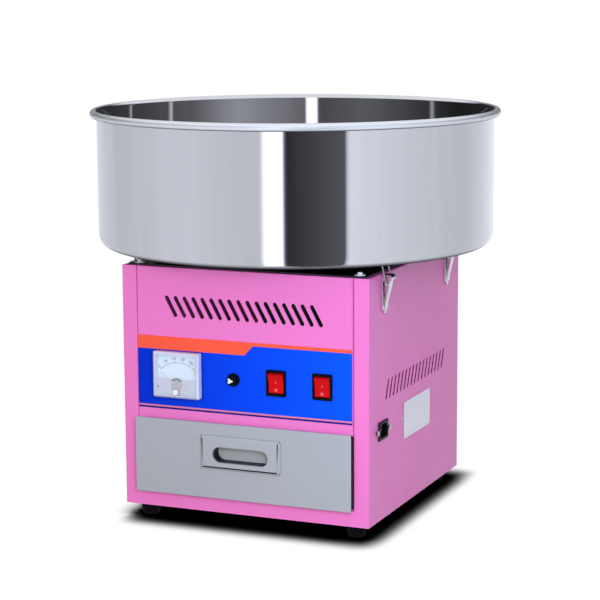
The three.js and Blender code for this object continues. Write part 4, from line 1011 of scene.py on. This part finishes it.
def make_mask():
    """The frosted band inside the cover, with a dome over the needle's pivot."""
    band_margin, band_top, band_low, band_high = 3, -6.4, SEAT + 6.1, SEAT + 8.2
    band_x, band_bottom = METER_HALF_X - band_margin, -METER_HALF_Y + band_margin
    screw_room = circle(0, SCREW_LEVEL, 4.2, 32)
    band = slab(round_rect(-band_x, band_x, band_bottom, band_top, 1, 3), band_low, band_high,
                [screw_room], edge=(0.6, 0.6, 3))
    # The dome is drawn in a darker copy of the mask's finish, as painted shade on its curve
    dome_radius, dome_level = 7.6, band_top - 7.4
    dome = slab(
        arc(0, dome_level, dome_radius, 0, 180, 24) + arc(0, SCREW_LEVEL, 5, 200, 340, 12),
        band_high - 0.2, band_high + 1.1, [screw_room], edge=(0.8, 0.8, 4),
    )
    piece("meter_mask", [placed(band, METER_PLACE)], "frosted_mask", body="cabinet")
    piece("meter_dome", [placed(dome, METER_PLACE)], "mask_dome_painted_shade", body="cabinet")
    crescent = slab(
        arc(0, dome_level, dome_radius + 2.4, 44, 136, 16) + arc(0, dome_level, dome_radius, 136, 44, 16),
        band_high - 0.1, band_high + 0.4,
    )
    studs = [
        placed(lathe([(0, 0), (1.3, 0), (1.1, 0.5), (0, 0.7)], 20), shift(x, y, band_high - 0.1))
        for x, y in ((-25.7, -15.9), (27.6, -15))
    ]
    piece("meter_mask_details", all_placed([crescent, *studs], METER_PLACE), "black_plastic", body="cabinet")


def make_needle_and_screw():
    front, back = front_and_back("meter_needle")
    rest, length, tail = 44, 33, 5
    bore, hub_radius = 1.3, 2.8
    hub = lathe([(bore, back), (hub_radius, back), (hub_radius, front - 0.2), (hub_radius - 0.2, front),
                 (bore, front)], 32)
    blade = [
        slab([(-0.4, low_y), (0.4, low_y), (width, high_y), (-width, high_y)], back + 0.05, back + 0.5)
        for low_y, high_y, width in ((2, length, 0.12), (-2, -tail, 1.1))
    ]
    way = METER_PLACE @ shift(0, NEEDLE_LEVEL, 0) @ tilt(rest, "Z")
    skin("meter_needle", all_placed([hub, *blade], way), "needle_paint")

    front, back = front_and_back("meter_zero_screw")
    screw = slotted_head(3.5, back, front, 1, 1)
    skin("meter_zero_screw", all_placed(screw, METER_PLACE @ shift(0, SCREW_LEVEL, 0)), "white_plastic")


def make_meter():
    make_dial()
    make_cover()
    make_mask()
    make_needle_and_screw()


def slotted_head(radius, low, high, slot_width, slot_depth):
    """A round head with a driver's slot, made of a body and a top with the slot in it."""
    reach = radius - 0.7
    base = lathe([(0, low), (radius, low), (radius, high - slot_depth), (0, high - slot_depth)], 40)
    slot = rectangle(-reach, reach, -slot_width / 2, slot_width / 2)
    top = slab(circle(0, 0, radius, 40), high - slot_depth - JOIN, high, [slot], edge=(0.5, 0.5, 3))
    return [base, top]


def make_fuse():
    at = FRONT @ shift(FUSE_X, SWITCH_LEVEL, 0)
    bore, body, flange, wall = 4.5, 6.3, 8.25, 2
    front, back = front_and_back("fuse_socket")
    socket = lathe([
        (bore, front), *arc(flange - 0.7, front - 0.7, 0.7, 90, 0, 4), (flange, SEAT), (body, SEAT),
        (body, back), (0, back), (0, back + wall), (bore, back + wall),
    ], 48)
    skin("fuse_socket", [placed(socket, at)], "black_plastic")

    face, end = front_and_back("fuse_cap")
    head_back = front + FIT
    stem, head, depth = bore - FIT, 6.4, 1.5
    link_room, link_depth = 2.9, 6
    body_part = lathe([
        (0, end + link_depth), (link_room, end + link_depth), (link_room, end), (stem, end),
        (stem, head_back), (head, head_back), (head, face - depth), (0, face - depth),
    ], 48)
    slot = rectangle(-3.2, 3.2, -0.7, 0.7)
    top = slab(circle(0, 0, head, 48), face - depth - JOIN, face, [slot], edge=(0.9, 0.9, 4),
               hole_edge=(0.15, 0.15, 1))
    skin("fuse_cap", all_placed([body_part, top], at), "black_plastic")
    # A painted highlight: a white patch on the cap's face where the glossy cap catches the light
    painted_glint = slab([(-4.4, -4.2), (2.2, -1.4), (2.2, -0.6), (-4.4, 3.4)], face - 0.6, face + 0.2, edge=FINE)
    piece("fuse_cap_painted_glint", [placed(painted_glint, at)], "white_plastic", body=BODY_OF["fuse_cap"])
    keep_node("fuse_link", "fuse_glass", 0)


# A rocker has its pivot at its origin. Its face stands out most at its two ends.
ROCKER_REACH, ROCKER_HALF_WIDTH, ROCKER_REST = 12.4, 9.7, 8
ROCKER_CROWN, ROCKER_VALLEY, ROCKER_BACK = 5.4, 3.8, 4.6
CROWN_TURN, BACK_TURN = (math.degrees(math.asin(v / ROCKER_REACH)) for v in (ROCKER_CROWN, ROCKER_BACK))
ROCKER_LIFT = ROCKER_REACH * math.cos(math.radians(CROWN_TURN))
ROCKER_HOLLOW = (ROCKER_CROWN - ROCKER_VALLEY) / ROCKER_LIFT ** 2
MARK_LOW, MARK_HIGH = -0.15, 0.12


def face_at(level):
    return -ROCKER_VALLEY - ROCKER_HOLLOW * level ** 2


def rocker():
    top = arc(0, 0, ROCKER_REACH, 90 + CROWN_TURN, 90 - BACK_TURN, 8)
    foot = arc(0, 0, ROCKER_REACH, BACK_TURN - 90, -90 - CROWN_TURN, 8)
    face = [(face_at(level), level) for level in (ROCKER_LIFT * (i / 6 - 1) for i in range(1, 12))]
    soft = (0.6, 0.6, 3)
    return slab(top + foot + face, -ROCKER_HALF_WIDTH, ROCKER_HALF_WIDTH, edge=soft, base_edge=soft)


def rocker_marks():
    """A bar at the top for on and a ring at the foot for off."""
    bar = slab(centred(0.35, 1.3, 0.3, 2), MARK_LOW, MARK_HIGH)
    ring = slab(circle(0, 0, 1.7, 28), MARK_LOW, MARK_HIGH, [circle(0, 0, 1.1, 28)])
    marks = []
    for level, mark in ((1.6, bar), (-7.8, ring)):
        slope = math.degrees(math.atan(2 * ROCKER_HOLLOW * level))
        marks.append(placed(mark, shift(0, face_at(level), level) @ tilt(slope, "X") @ FRONT))
    return marks


def make_switch(prefix, x):
    at = FRONT @ shift(x, SWITCH_LEVEL, 0)
    low, high = box_mm(f"{prefix}_switch_frame")
    front, back = front_and_back(f"{prefix}_switch_frame")
    width, height = high[0] - low[0], high[2] - low[2]
    pocket_x, pocket_y, pocket_end = 10, 12.7, HALF_DEPTH - 10
    pocket = centred(pocket_x, pocket_y, 0.4, 2)
    bezel = slab(centred(width / 2, height / 2, 1.6), SEAT, front, [pocket],
                 edge=(1.3, 1.3, 5), hole_edge=(0.7, 0.7, 3))
    body_x, body_y = SWITCH_BODY[0] / 2, SWITCH_BODY[1] / 2
    shell_outline = centred(body_x, body_y, 0.6, 2)
    shell = slab(shell_outline, pocket_end, SEAT + JOIN, [pocket])
    bottom = slab(shell_outline, back, pocket_end + JOIN)
    skin(f"{prefix}_switch_frame", all_placed([bezel, shell, bottom], at), "black_plastic")

    way = shift(*pivot_mm(f"{prefix}_rock")) @ tilt(ROCKER_REST, "X")
    skin(f"{prefix}_rocker", [placed(rocker(), way @ RIGHT)], "red_plastic")
    piece(f"{prefix}_marks", all_placed(rocker_marks(), way), "mark_paint", body=BODY_OF[f"{prefix}_rocker"])


def screw_head(radius, rise):
    """A domed head with a cross for the driver, standing on level 0."""
    arm, half = radius * 0.62, radius * 0.12
    cross = [
        (half, half), (half, arm), (-half, arm), (-half, half), (-arm, half), (-arm, -half),
        (-half, -half), (-half, -arm), (half, -arm), (half, -half), (arm, -half), (arm, half),
    ]
    base = lathe([(0, 0), (radius, 0), (radius, rise * 0.35), (0, rise * 0.35)], 32)
    top = slab(circle(0, 0, radius, 32), rise * 0.34, rise, [cross], edge=(radius * 0.45, rise * 0.55, 4))
    return [base, top]


def make_inlet():
    low, high = box_mm("power_inlet")
    _, y, z = middle_mm("power_inlet")
    seat, face, back = HALF_WIDTH + FIT, high[0], low[0]
    (width, height), lap_x, lap_y, ear, reach = INLET_BODY, 15.5, 11.5, 2.4, 20
    outline = [
        *arc(reach, 0, ear, -90, 90, 8), (lap_x, ear), *quarter(lap_x, lap_y, 1, 0),
        *quarter(-lap_x, lap_y, 1, 90), (-lap_x, ear), *arc(-reach, 0, ear, 90, 270, 8),
        (-lap_x, -ear), *quarter(-lap_x, -lap_y, 1, 180), *quarter(lap_x, -lap_y, 1, 270), (lap_x, -ear),
    ]
    half_x, half_y, corner = 11.5, 8, 5.3
    socket = rounded_path([
        (0, -half_y), (half_x, -half_y), (half_x, half_y - corner), (half_x - corner, half_y),
        (corner - half_x, half_y), (-half_x, half_y - corner), (-half_x, -half_y), (0, -half_y),
    ], 0.8, 3)[:-1]
    socket_depth, pin_length = 17, 11
    floor = face - socket_depth
    body_outline = centred(width / 2, height / 2, 0.8, 3)
    at = RIGHT @ shift(y, z, 0)
    parts = [
        slab(outline, seat, face, [socket], edge=(0.7, 0.7, 3), hole_edge=(0.8, 0.8, 3)),
        slab(body_outline, floor, seat + JOIN, [socket]),
        slab(body_outline, back, floor + JOIN),
    ]
    skin("power_inlet", all_placed(parts, at), "black_plastic")
    pins = [
        slab(round_rect(u - 1, u + 1, v - 2, v + 2, 0.5, 3), floor, floor + pin_length, edge=(0.6, 0.8, 3))
        for u, v in ((-7, -2), (0, 2), (7, -2))
    ]
    piece("inlet_pins", all_placed(pins, at), "latch_steel", body="cabinet")
    screws = []
    for side in (-1, 1):
        screws += all_placed(screw_head(3.3, 1.3), at @ shift(side * reach, 0, face - 0.05))
    piece("inlet_screws", screws, "latch_steel", body="cabinet")


def make_rating_plate():
    """The blank plate, and the rivet in the side beside it."""
    low, high = box_mm("rating_plate")
    plate = slab(round_rect(low[1], high[1], low[2], high[2], 2.5), low[0], high[0], edge=(0.2, 0.2, 2))
    skin("rating_plate", [placed(plate, RIGHT)], "plate_foil")
    rivet = lathe([(0, 0), (1.9, 0), *arc(0, -0.6, 2, 18, 90, 5)], 24)
    rivet_before, rivet_rise = 6.4, 4.8
    place = shift(low[1] - rivet_before, (low[2] + high[2]) / 2 + rivet_rise, HALF_WIDTH - 0.02)
    piece("side_rivet", [placed(rivet, RIGHT @ place)], "latch_steel", body="cabinet")


# Toggle latches, drawn on the right with x out of the cabinet and y along it


def latch_lever():
    """The lever in its own frame, its pivot at the origin and hanging down: a channel that narrows."""
    stations = [
        # level, half width, outer face, depth of the sides behind the face
        (1.5, 6, 1.8, 5.2), (-3, 6, 1.8, 5.6), (-8, 6, 1.8, 6.4), (-11.2, 6, 1.8, 6),
        (-16, 5.6, 1.8, 5.2), (-20, 5.2, 1.7, 4.2), (-24, 4.8, 1.6, 3.6), (-30, 4.3, 1.5, 3.2),
        (-36, 3.8, 1.5, 2.8), (-40, 3.5, 1.5, 2.4), (-42.6, 3.2, 1.9, 2), (-44.2, 2.8, 2.5, 1.6),
        (-45, 2.2, 3, 1.2),
    ]
    sheet = 0.9
    sections = []
    for level, half, face, depth in stations:
        path = [(-half, face - depth), (-half, face), (half, face), (half, face - depth)]
        outline = bent_sheet(path[::-1], sheet, 1.0, 3)
        sections.append([(x, y, level) for y, x in outline])
    radius, half, edge = 3.2, 6, 0.8
    barrel = lathe([(0, -half), *quarter(radius, -half, edge, -90), *quarter(radius, half, edge, 0),
                    (0, half)], 28)
    return [loft(sections), placed(barrel, FRONT)]


def latch_bail(length):
    """The bail in its own frame, its pivot at the origin and its bar straight above."""
    half, bend, end = 10, 2.5, 4.8
    outline = [(-end, 0)]
    for cy, cz, start in ((bend - half, bend, 270), (bend - half, length - bend, 180),
                          (half - bend, length - bend, 90), (half - bend, bend, 0)):
        outline += arc(cy, cz, bend, start, start - 90, 8)
    outline.append((end, 0))
    return [sweep([(0, y, z) for y, z in outline], 1.2)]


def latch_base(pivot_out, pivot_z):
    half_width, height, face, ear_radius = 9.5, 43, FIT + 1.5, 4
    top = pivot_z + ear_radius
    outline = round_rect(-half_width, half_width, top - height, top, 2.2)
    parts = [placed(slab(outline, FIT, face, edge=ROUND), RIGHT)]
    root, ear_start, ear_wall = FIT + 0.8, 6.3, 1.2
    ear = [(root, pivot_z - ear_radius), *arc(pivot_out, pivot_z, ear_radius, -90, 90, 14), (root, top)]
    for start in (ear_start, -ear_start - ear_wall):
        parts.append(placed(slab(ear, start, start + ear_wall, edge=FINE), FRONT))
    pin_end = [(1.5, 7.4), (2.1, 7.5), (1.7, 7.9), (0, 7.9)]
    pin = lathe([(radius, -y) for radius, y in pin_end[::-1]] + pin_end, 24)
    parts.append(placed(pin, FRONT @ shift(pivot_out, pivot_z, 0)))
    rivet = lathe([(0, 0), (2.4, 0), *arc(0, -0.9, 2.6, 20, 90, 6)], 24)
    for drop in (20, 37):
        parts.append(placed(rivet, RIGHT @ shift(0, top - drop, face - 0.05)))
    return parts


def make_latches():
    lean, bar_out, bar_drop = 11.8, 0.6, 2.5
    for side in ("left", "right"):
        for end in ("front", "back"):
            where = f"{end}_{side}"
            pivot = pivot_mm(f"lever_turn_{where}")
            bail_pivot = pivot_mm(f"bail_turn_{where}")
            out = abs(pivot[0]) - HALF_WIDTH
            spin = LYING if side == "right" else HALF_TURN
            way = shift(0, pivot[1], 0) @ spin @ shift(HALF_WIDTH, 0, 0)
            lever_way = way @ shift(out, 0, pivot[2]) @ tilt(lean, "Y")
            bail_out = abs(bail_pivot[0]) - HALF_WIDTH
            reach = (bar_out - bail_out, BOWL_LOW[2] - bar_drop - bail_pivot[2])
            bail_lean = math.degrees(math.atan2(*reach))
            bail_way = way @ shift(bail_out, 0, bail_pivot[2]) @ tilt(bail_lean, "Y")
            bail = latch_bail(math.hypot(*reach))
            skin(f"latch_base_{where}", all_placed(latch_base(out, pivot[2]), way), "latch_steel")
            skin(f"latch_lever_{where}", all_placed(latch_lever(), lever_way), "latch_steel")
            skin(f"latch_bail_{where}", all_placed(bail, bail_way), "latch_steel")
            keep_node(f"bowl_catch_{where}", "catch_steel", 0.3)


# Motor, shaft and spinning head


def make_drive():
    keep_node("motor_housing", "motor_shell", 0.8)
    keep_node("motor_bracket", "zinc_steel", 0.4)
    keep_node("brush_block", "carbon_block", 0.6)
    keep_node("slip_ring_sleeve", "slip_rings", 0.1)
    low, high = box_mm("drive_shaft")
    radius, collar, collar_height, edge = 6, 26, 4, 0.8
    collar_top = box_mm("head_pan")[0][2] - FIT
    collar_low = collar_top - collar_height
    shaft = lathe([
        (0, low[2]), (radius, low[2]), (radius, collar_low),
        *quarter(collar, collar_low, edge, -90), *quarter(collar, collar_top, edge, 0),
        (radius, collar_top), (radius, high[2]), (0, high[2]),
    ], 64)
    skin("drive_shaft", [shaft], "zinc_steel")


HEAD_BORE, HEAD_SEAT, HEAD_SCREEN, HEAD_RADIUS = 6.3, 67.8, 71.8, 75


def make_pan():
    bottom = box_mm("head_pan")[0][2]
    floor, seat = bottom + 5, bottom + 10
    lip_in, lip_top, hub = HEAD_SCREEN + FIT, bottom + 14, 14
    pan = lathe([
        (HEAD_BORE, bottom), (62, bottom), *arc(69.5, bottom + 5.5, 5.5, -80, -5, 6),
        *quarter(HEAD_RADIUS, lip_top, 0.6, 0), (lip_in, lip_top), (lip_in, seat), (HEAD_SEAT, seat),
        (HEAD_SEAT - 2, floor), (hub + 1.5, floor), *quarter(hub, floor + 4, 0.8, 0),
        (HEAD_BORE, floor + 4),
    ], 120)
    skin("head_pan", [pan], "cast_aluminium")
    keep_node("heater_element", "heater_alloy", 0)


def make_screen():
    low, high = box_mm("head_screen")
    wall, count, slot_width, slot_height = 1.5, 20, 4, 22
    half_slot = math.degrees(slot_width / 2 / HEAD_SCREEN)
    angles, open_columns = [], set()
    for i in range(count):
        centre = (i + 0.5) * 360 / count
        open_columns.update({len(angles) + 2})
        angles += [centre - 180 / count, centre - 90 / count - half_slot / 2, centre - half_slot,
                   centre + half_slot, centre + 90 / count + half_slot / 2]
    middle = (low[2] + high[2]) / 2
    levels = [low[2], middle - slot_height / 2, middle + slot_height / 2, high[2]]
    ring = slotted_ring(HEAD_SCREEN - wall, HEAD_SCREEN, angles, levels,
                        lambda i, j: not (j == 1 and i in open_columns))
    skin("head_screen", [ring], "polished_steel")


def make_cap():
    well, wall, roof, hub = 30, 1.6, 2.4, 11
    top, screen_top = (box_mm(node)[1][2] for node in ("head_cap", "head_screen"))
    skirt_in = HEAD_SCREEN + 1
    edge_top = screen_top + FIT + wall
    well_bottom = top - 14
    skirt = screen_top - 5
    slope = (top - edge_top) / (HEAD_RADIUS - well - 3)
    roof_at_seat = edge_top + (HEAD_RADIUS - HEAD_SEAT) * slope - roof
    cone = lathe([
        *quarter(HEAD_RADIUS, skirt, 0.5, -90), *arc(HEAD_RADIUS - 1.5, edge_top - 1.5, 1.5, 0, 74, 4),
        *arc(well + 3, top - 1.2, 1.2, 74, 90, 2), *quarter(well, top, 0.8, 90, 4),
        (well, well_bottom), (well + wall, well_bottom), (well + wall, top - roof),
        (HEAD_SEAT, roof_at_seat), (HEAD_SEAT, screen_top + FIT), (skirt_in, screen_top + FIT),
        (skirt_in, skirt),
    ], 120)
    hub_part = lathe([
        (HEAD_BORE, well_bottom), (hub, well_bottom), *quarter(hub, well_bottom + 4, 0.8, 0),
        (HEAD_BORE, well_bottom + 4),
    ], 64)
    parts = [cone, hub_part]
    start, end, half = 8.7, well + 0.8, 3
    spoke = slab(rectangle(start, end, -half, half), well_bottom + LAP, well_bottom + 3, edge=(0.6, 0.6, 3))
    for i in range(3):
        parts.append(placed(spoke, tilt(90 + 120 * i, "Z")))
    skin("head_cap", parts, "cast_aluminium")


def make_nut():
    low, high = box_mm("head_nut")
    base, top = low[2], high[2]
    radius, crown = 10, 4.5
    nut = lathe([
        (HEAD_BORE, base), (radius - 0.6, base), (radius, base + 0.6), (radius, top - 5),
        *quarter(radius, top, crown, 0, 8), (0, top), (0, top - 4), (HEAD_BORE, top - 4),
    ], 64)
    skin("head_nut", [nut], "cast_aluminium")


def make_head():
    make_pan()
    make_screen()
    make_cap()
    make_nut()


# Floor, light and camera

CAMERA_AZIMUTH = 22.939
CAMERA_ELEVATION = 9.628
CAMERA_ROLL = -0.31
CAMERA_DISTANCE = 2572.1
CAMERA_TARGET = (5.115, 0, CABINET_TOP - 60.84)
FOCAL_PIXELS = 1995.4
FRAME_PIXELS = 600
SENSOR = 36

# Lamps, in metres and watts, as (place, aim, size, power, colour)
LAMPS = {
    "key": ((0.8, -1.85, 0.6), (0, -0.1, 0.25), 0.8, 20.6, (1, 0.96, 0.78)),
    "edge": ((0.45, -0.78, 0.42), (0.15, -0.167, 0.27), 0.35, 3.2, (0.35, 0.6, 1)),
    "back": ((-1.7, 1.6, 0.9), (0, 0, 0.2), 1.2, 28, (1, 0.98, 0.92)),
}
FLOOR_REACH = 12
FLOOR_GREY = (0.3, 0.3, 0.3, 1)

# The contact shadow's half-dark outline in x and y, and how far to each side of it the shadow fades
CONTACT_SHADOW = ((-150, 169.5), (-183, 188))
SHADOW_FADE = (22, 32)
CORNER_POWER, SHADOW_POWER = 3, 2.2
CREVICE, CREVICE_LEVELS = 0.05, (0.4, 0.8)


def make_camera():
    a, e, roll = (math.radians(v) for v in (CAMERA_AZIMUTH, CAMERA_ELEVATION, CAMERA_ROLL))
    right = Vector((math.cos(a), math.sin(a), 0))
    back = Vector((math.sin(a) * math.cos(e), -math.cos(a) * math.cos(e), math.sin(e)))
    up = back.cross(right)
    rolled_right = right * math.cos(roll) + up * math.sin(roll)
    rolled_up = up * math.cos(roll) - right * math.sin(roll)
    camera = bpy.data.cameras.new("camera")
    camera.sensor_width = SENSOR
    camera.lens = FOCAL_PIXELS / FRAME_PIXELS * SENSOR
    camera.clip_end = 50
    obj = add_object("camera", camera)
    place = (Vector(CAMERA_TARGET) + back * CAMERA_DISTANCE) * MM
    obj.matrix_world = Matrix.Translation(place) @ axes(rolled_right, rolled_up, back)
    bpy.context.scene.camera = obj


def make_floor():
    """A pale floor. The camera sees it white, and dark close round the machine's foot."""
    mesh = bpy.data.meshes.new("floor")
    corners = [(-1, -1), (1, -1), (1, 1), (-1, 1)]
    mesh.from_pydata([(x * FLOOR_REACH, y * FLOOR_REACH, 0) for x, y in corners], [], [(0, 1, 2, 3)])
    floor = add_object("floor", mesh)
    floor.visible_glossy = False
    surface = Surface("floor", 0.9)

    # Away from the cabinet's outline the contact shadow fades out
    spot = surface.parts_of(surface.place)
    outside = []
    for axis, (low, high), fade_out in zip("XY", CONTACT_SHADOW, SHADOW_FADE):
        centre, half = (low + high) / 2 * MM, ((high - low) / 2 - fade_out) * MM
        from_centre = surface.maths("ABSOLUTE", surface.maths("SUBTRACT", spot[axis], centre))
        beyond = surface.spread(from_centre, half, half + 2 * fade_out * MM)
        outside.append(surface.maths("POWER", beyond, CORNER_POWER))
    away = surface.maths("POWER", surface.maths("ADD", *outside), 1 / CORNER_POWER)
    fade = surface.spread(away, 0, 1, interpolation="SMOOTHSTEP")
    near = surface.node("ShaderNodeAmbientOcclusion", samples=8)
    surface.feed(near.inputs["Distance"], CREVICE)
    open_sky = surface.spread(near.outputs["AO"], *CREVICE_LEVELS, interpolation="SMOOTHSTEP")
    level = surface.maths("POWER", surface.maths("MULTIPLY", fade, open_sky), SHADOW_POWER)

    surface.feed(surface.shader.inputs["Base Color"], FLOOR_GREY)
    glow = surface.node("ShaderNodeEmission")
    surface.feed(glow.inputs["Strength"], level)
    path = surface.node("ShaderNodeLightPath")
    mix = surface.node("ShaderNodeMixShader")
    shown = (path.outputs["Is Camera Ray"], surface.shader.outputs["BSDF"], glow.outputs["Emission"])
    for socket, value in zip(mix.inputs, shown):
        surface.feed(socket, value)
    output = next(n for n in surface.tree.nodes if n.type == "OUTPUT_MATERIAL")
    surface.feed(output.inputs["Surface"], mix.outputs["Shader"])
    mesh.materials.append(surface.material)


# What polished metal sees round the machine, by azimuth from the front to the right: the shade of the
# studio's walls, and what stands before them as (start, end, level at start, level at end)
LOWER_WALLS = [
    (-180, 0.95), (-100, 0.65), (-40, 0.76), (0, 0.66), (54, 0.88), (90, 0.75), (135, 0.64), (180, 0.95),
]
UPPER_WALLS = [
    (-180, 0.03), (-90, 0.015), (-60, 0.05), (-20, 0.13), (8, 0.08), (20, 0.18), (60, 0.34), (90, 0.12),
    (130, 0.06), (180, 0.03),
]
LIGHT_BOX = (4.8, 15.4, 1.5, 1.5)
DARK_SCREEN = (17, 51.4, 0.03, 0.115)
LIGHT_BARS = [
    (-71, -69, 0.35, 0.35), (9.4, 15.9, 1.5, 1.5), (105.5, 106.5, 0.6, 0.6), (140.5, 141.5, 0.45, 0.45),
]
SOFT_EDGE = 0.9
RING_TINT = (0.97, 0.98, 1.06)
CEILING, CEILING_START, CEILING_FULL = (0.9, 0.9, 0.95), 0.36, 0.5
ROOM_FILL = (0.61, 0.64, 0.74)


def ring_stops(walls, things):
    """The ring as stops of azimuth and level, each thing with a soft edge on both sides."""
    def wall_at(azimuth):
        for (a, low), (b, high) in zip(walls, walls[1:]):
            if a <= azimuth <= b:
                return low + (high - low) * (azimuth - a) / (b - a)

    stops = [stop for stop in walls if not any(start <= stop[0] <= end for start, end, _, _ in things)]
    for start, end, first, last in things:
        before, after = start - SOFT_EDGE, end + SOFT_EDGE
        stops += [(before, wall_at(before)), (start, first), (end, last), (after, wall_at(after))]
    return sorted(stops)


def ring_ramp(world, turn, stops):
    ramp = world.node("ShaderNodeValToRGB")
    elements = ramp.color_ramp.elements
    while len(elements) > 1:
        elements.remove(elements[0])
    for number, (azimuth, level) in enumerate(stops):
        position = (azimuth + 180) / 360
        element = elements[0] if number == 0 else elements.new(position)
        element.position = position
        element.color = (*(level * t for t in RING_TINT), 1)
    world.feed(ramp.inputs["Fac"], turn)
    return ramp.outputs["Color"]


def make_world():
    """White to the camera, plain fill for the object, and the studio's walls for polished metal."""
    studio = bpy.data.worlds.new("studio")
    bpy.context.scene.world = studio
    studio.use_nodes = True
    studio.node_tree.nodes.clear()
    world = Nodes(studio.node_tree)
    parts = world.parts_of(world.node("ShaderNodeTexCoord").outputs["Generated"])
    azimuth = world.maths("ARCTAN2", parts["X"], world.maths("MULTIPLY", parts["Y"], -1.0))
    turn = world.maths("ADD", world.maths("DIVIDE", azimuth, 2 * math.pi), 0.5)
    lower = ring_ramp(world, turn, ring_stops(LOWER_WALLS, [LIGHT_BOX, DARK_SCREEN]))
    upper = ring_ramp(world, turn, ring_stops(UPPER_WALLS, LIGHT_BARS))
    ring = world.blend(world.maths("GREATER_THAN", parts["Z"], 0.0), lower, upper)
    high = world.spread(parts["Z"], CEILING_START, CEILING_FULL)
    path = world.node("ShaderNodeLightPath")
    light = world.blend(path.outputs["Is Glossy Ray"], ROOM_FILL, world.blend(high, ring, CEILING))
    background = world.node("ShaderNodeBackground")
    world.feed(background.inputs["Color"], world.blend(path.outputs["Is Camera Ray"], light, (1, 1, 1)))
    output = world.node("ShaderNodeOutputWorld")
    world.feed(output.inputs["Surface"], background.outputs["Background"])


def make_lamp(name, place, aim, size, power, colour):
    light = bpy.data.lights.new(name, "AREA")
    light.shape = "DISK"
    light.size = size
    light.energy = power
    light.color = colour
    obj = add_object(name, light)
    way = Vector(aim) - Vector(place)
    obj.matrix_world = Matrix.Translation(place) @ way.to_track_quat("-Z", "Y").to_matrix().to_4x4()
    obj.visible_camera = False
    obj.visible_glossy = False


def make_stage():
    make_camera()
    make_floor()
    make_world()
    for name, setting in LAMPS.items():
        make_lamp(name, *setting)
    bpy.context.scene.view_settings.view_transform = "Standard"


make_stage()
make_sides()
make_faces()
make_feet()
make_deck_and_bowl()
make_drawer()
make_meter()
make_fuse()
make_switch("heat", HEAT_X)
make_switch("power", POWER_X)
make_inlet()
make_rating_plate()
make_latches()
make_drive()
make_head()
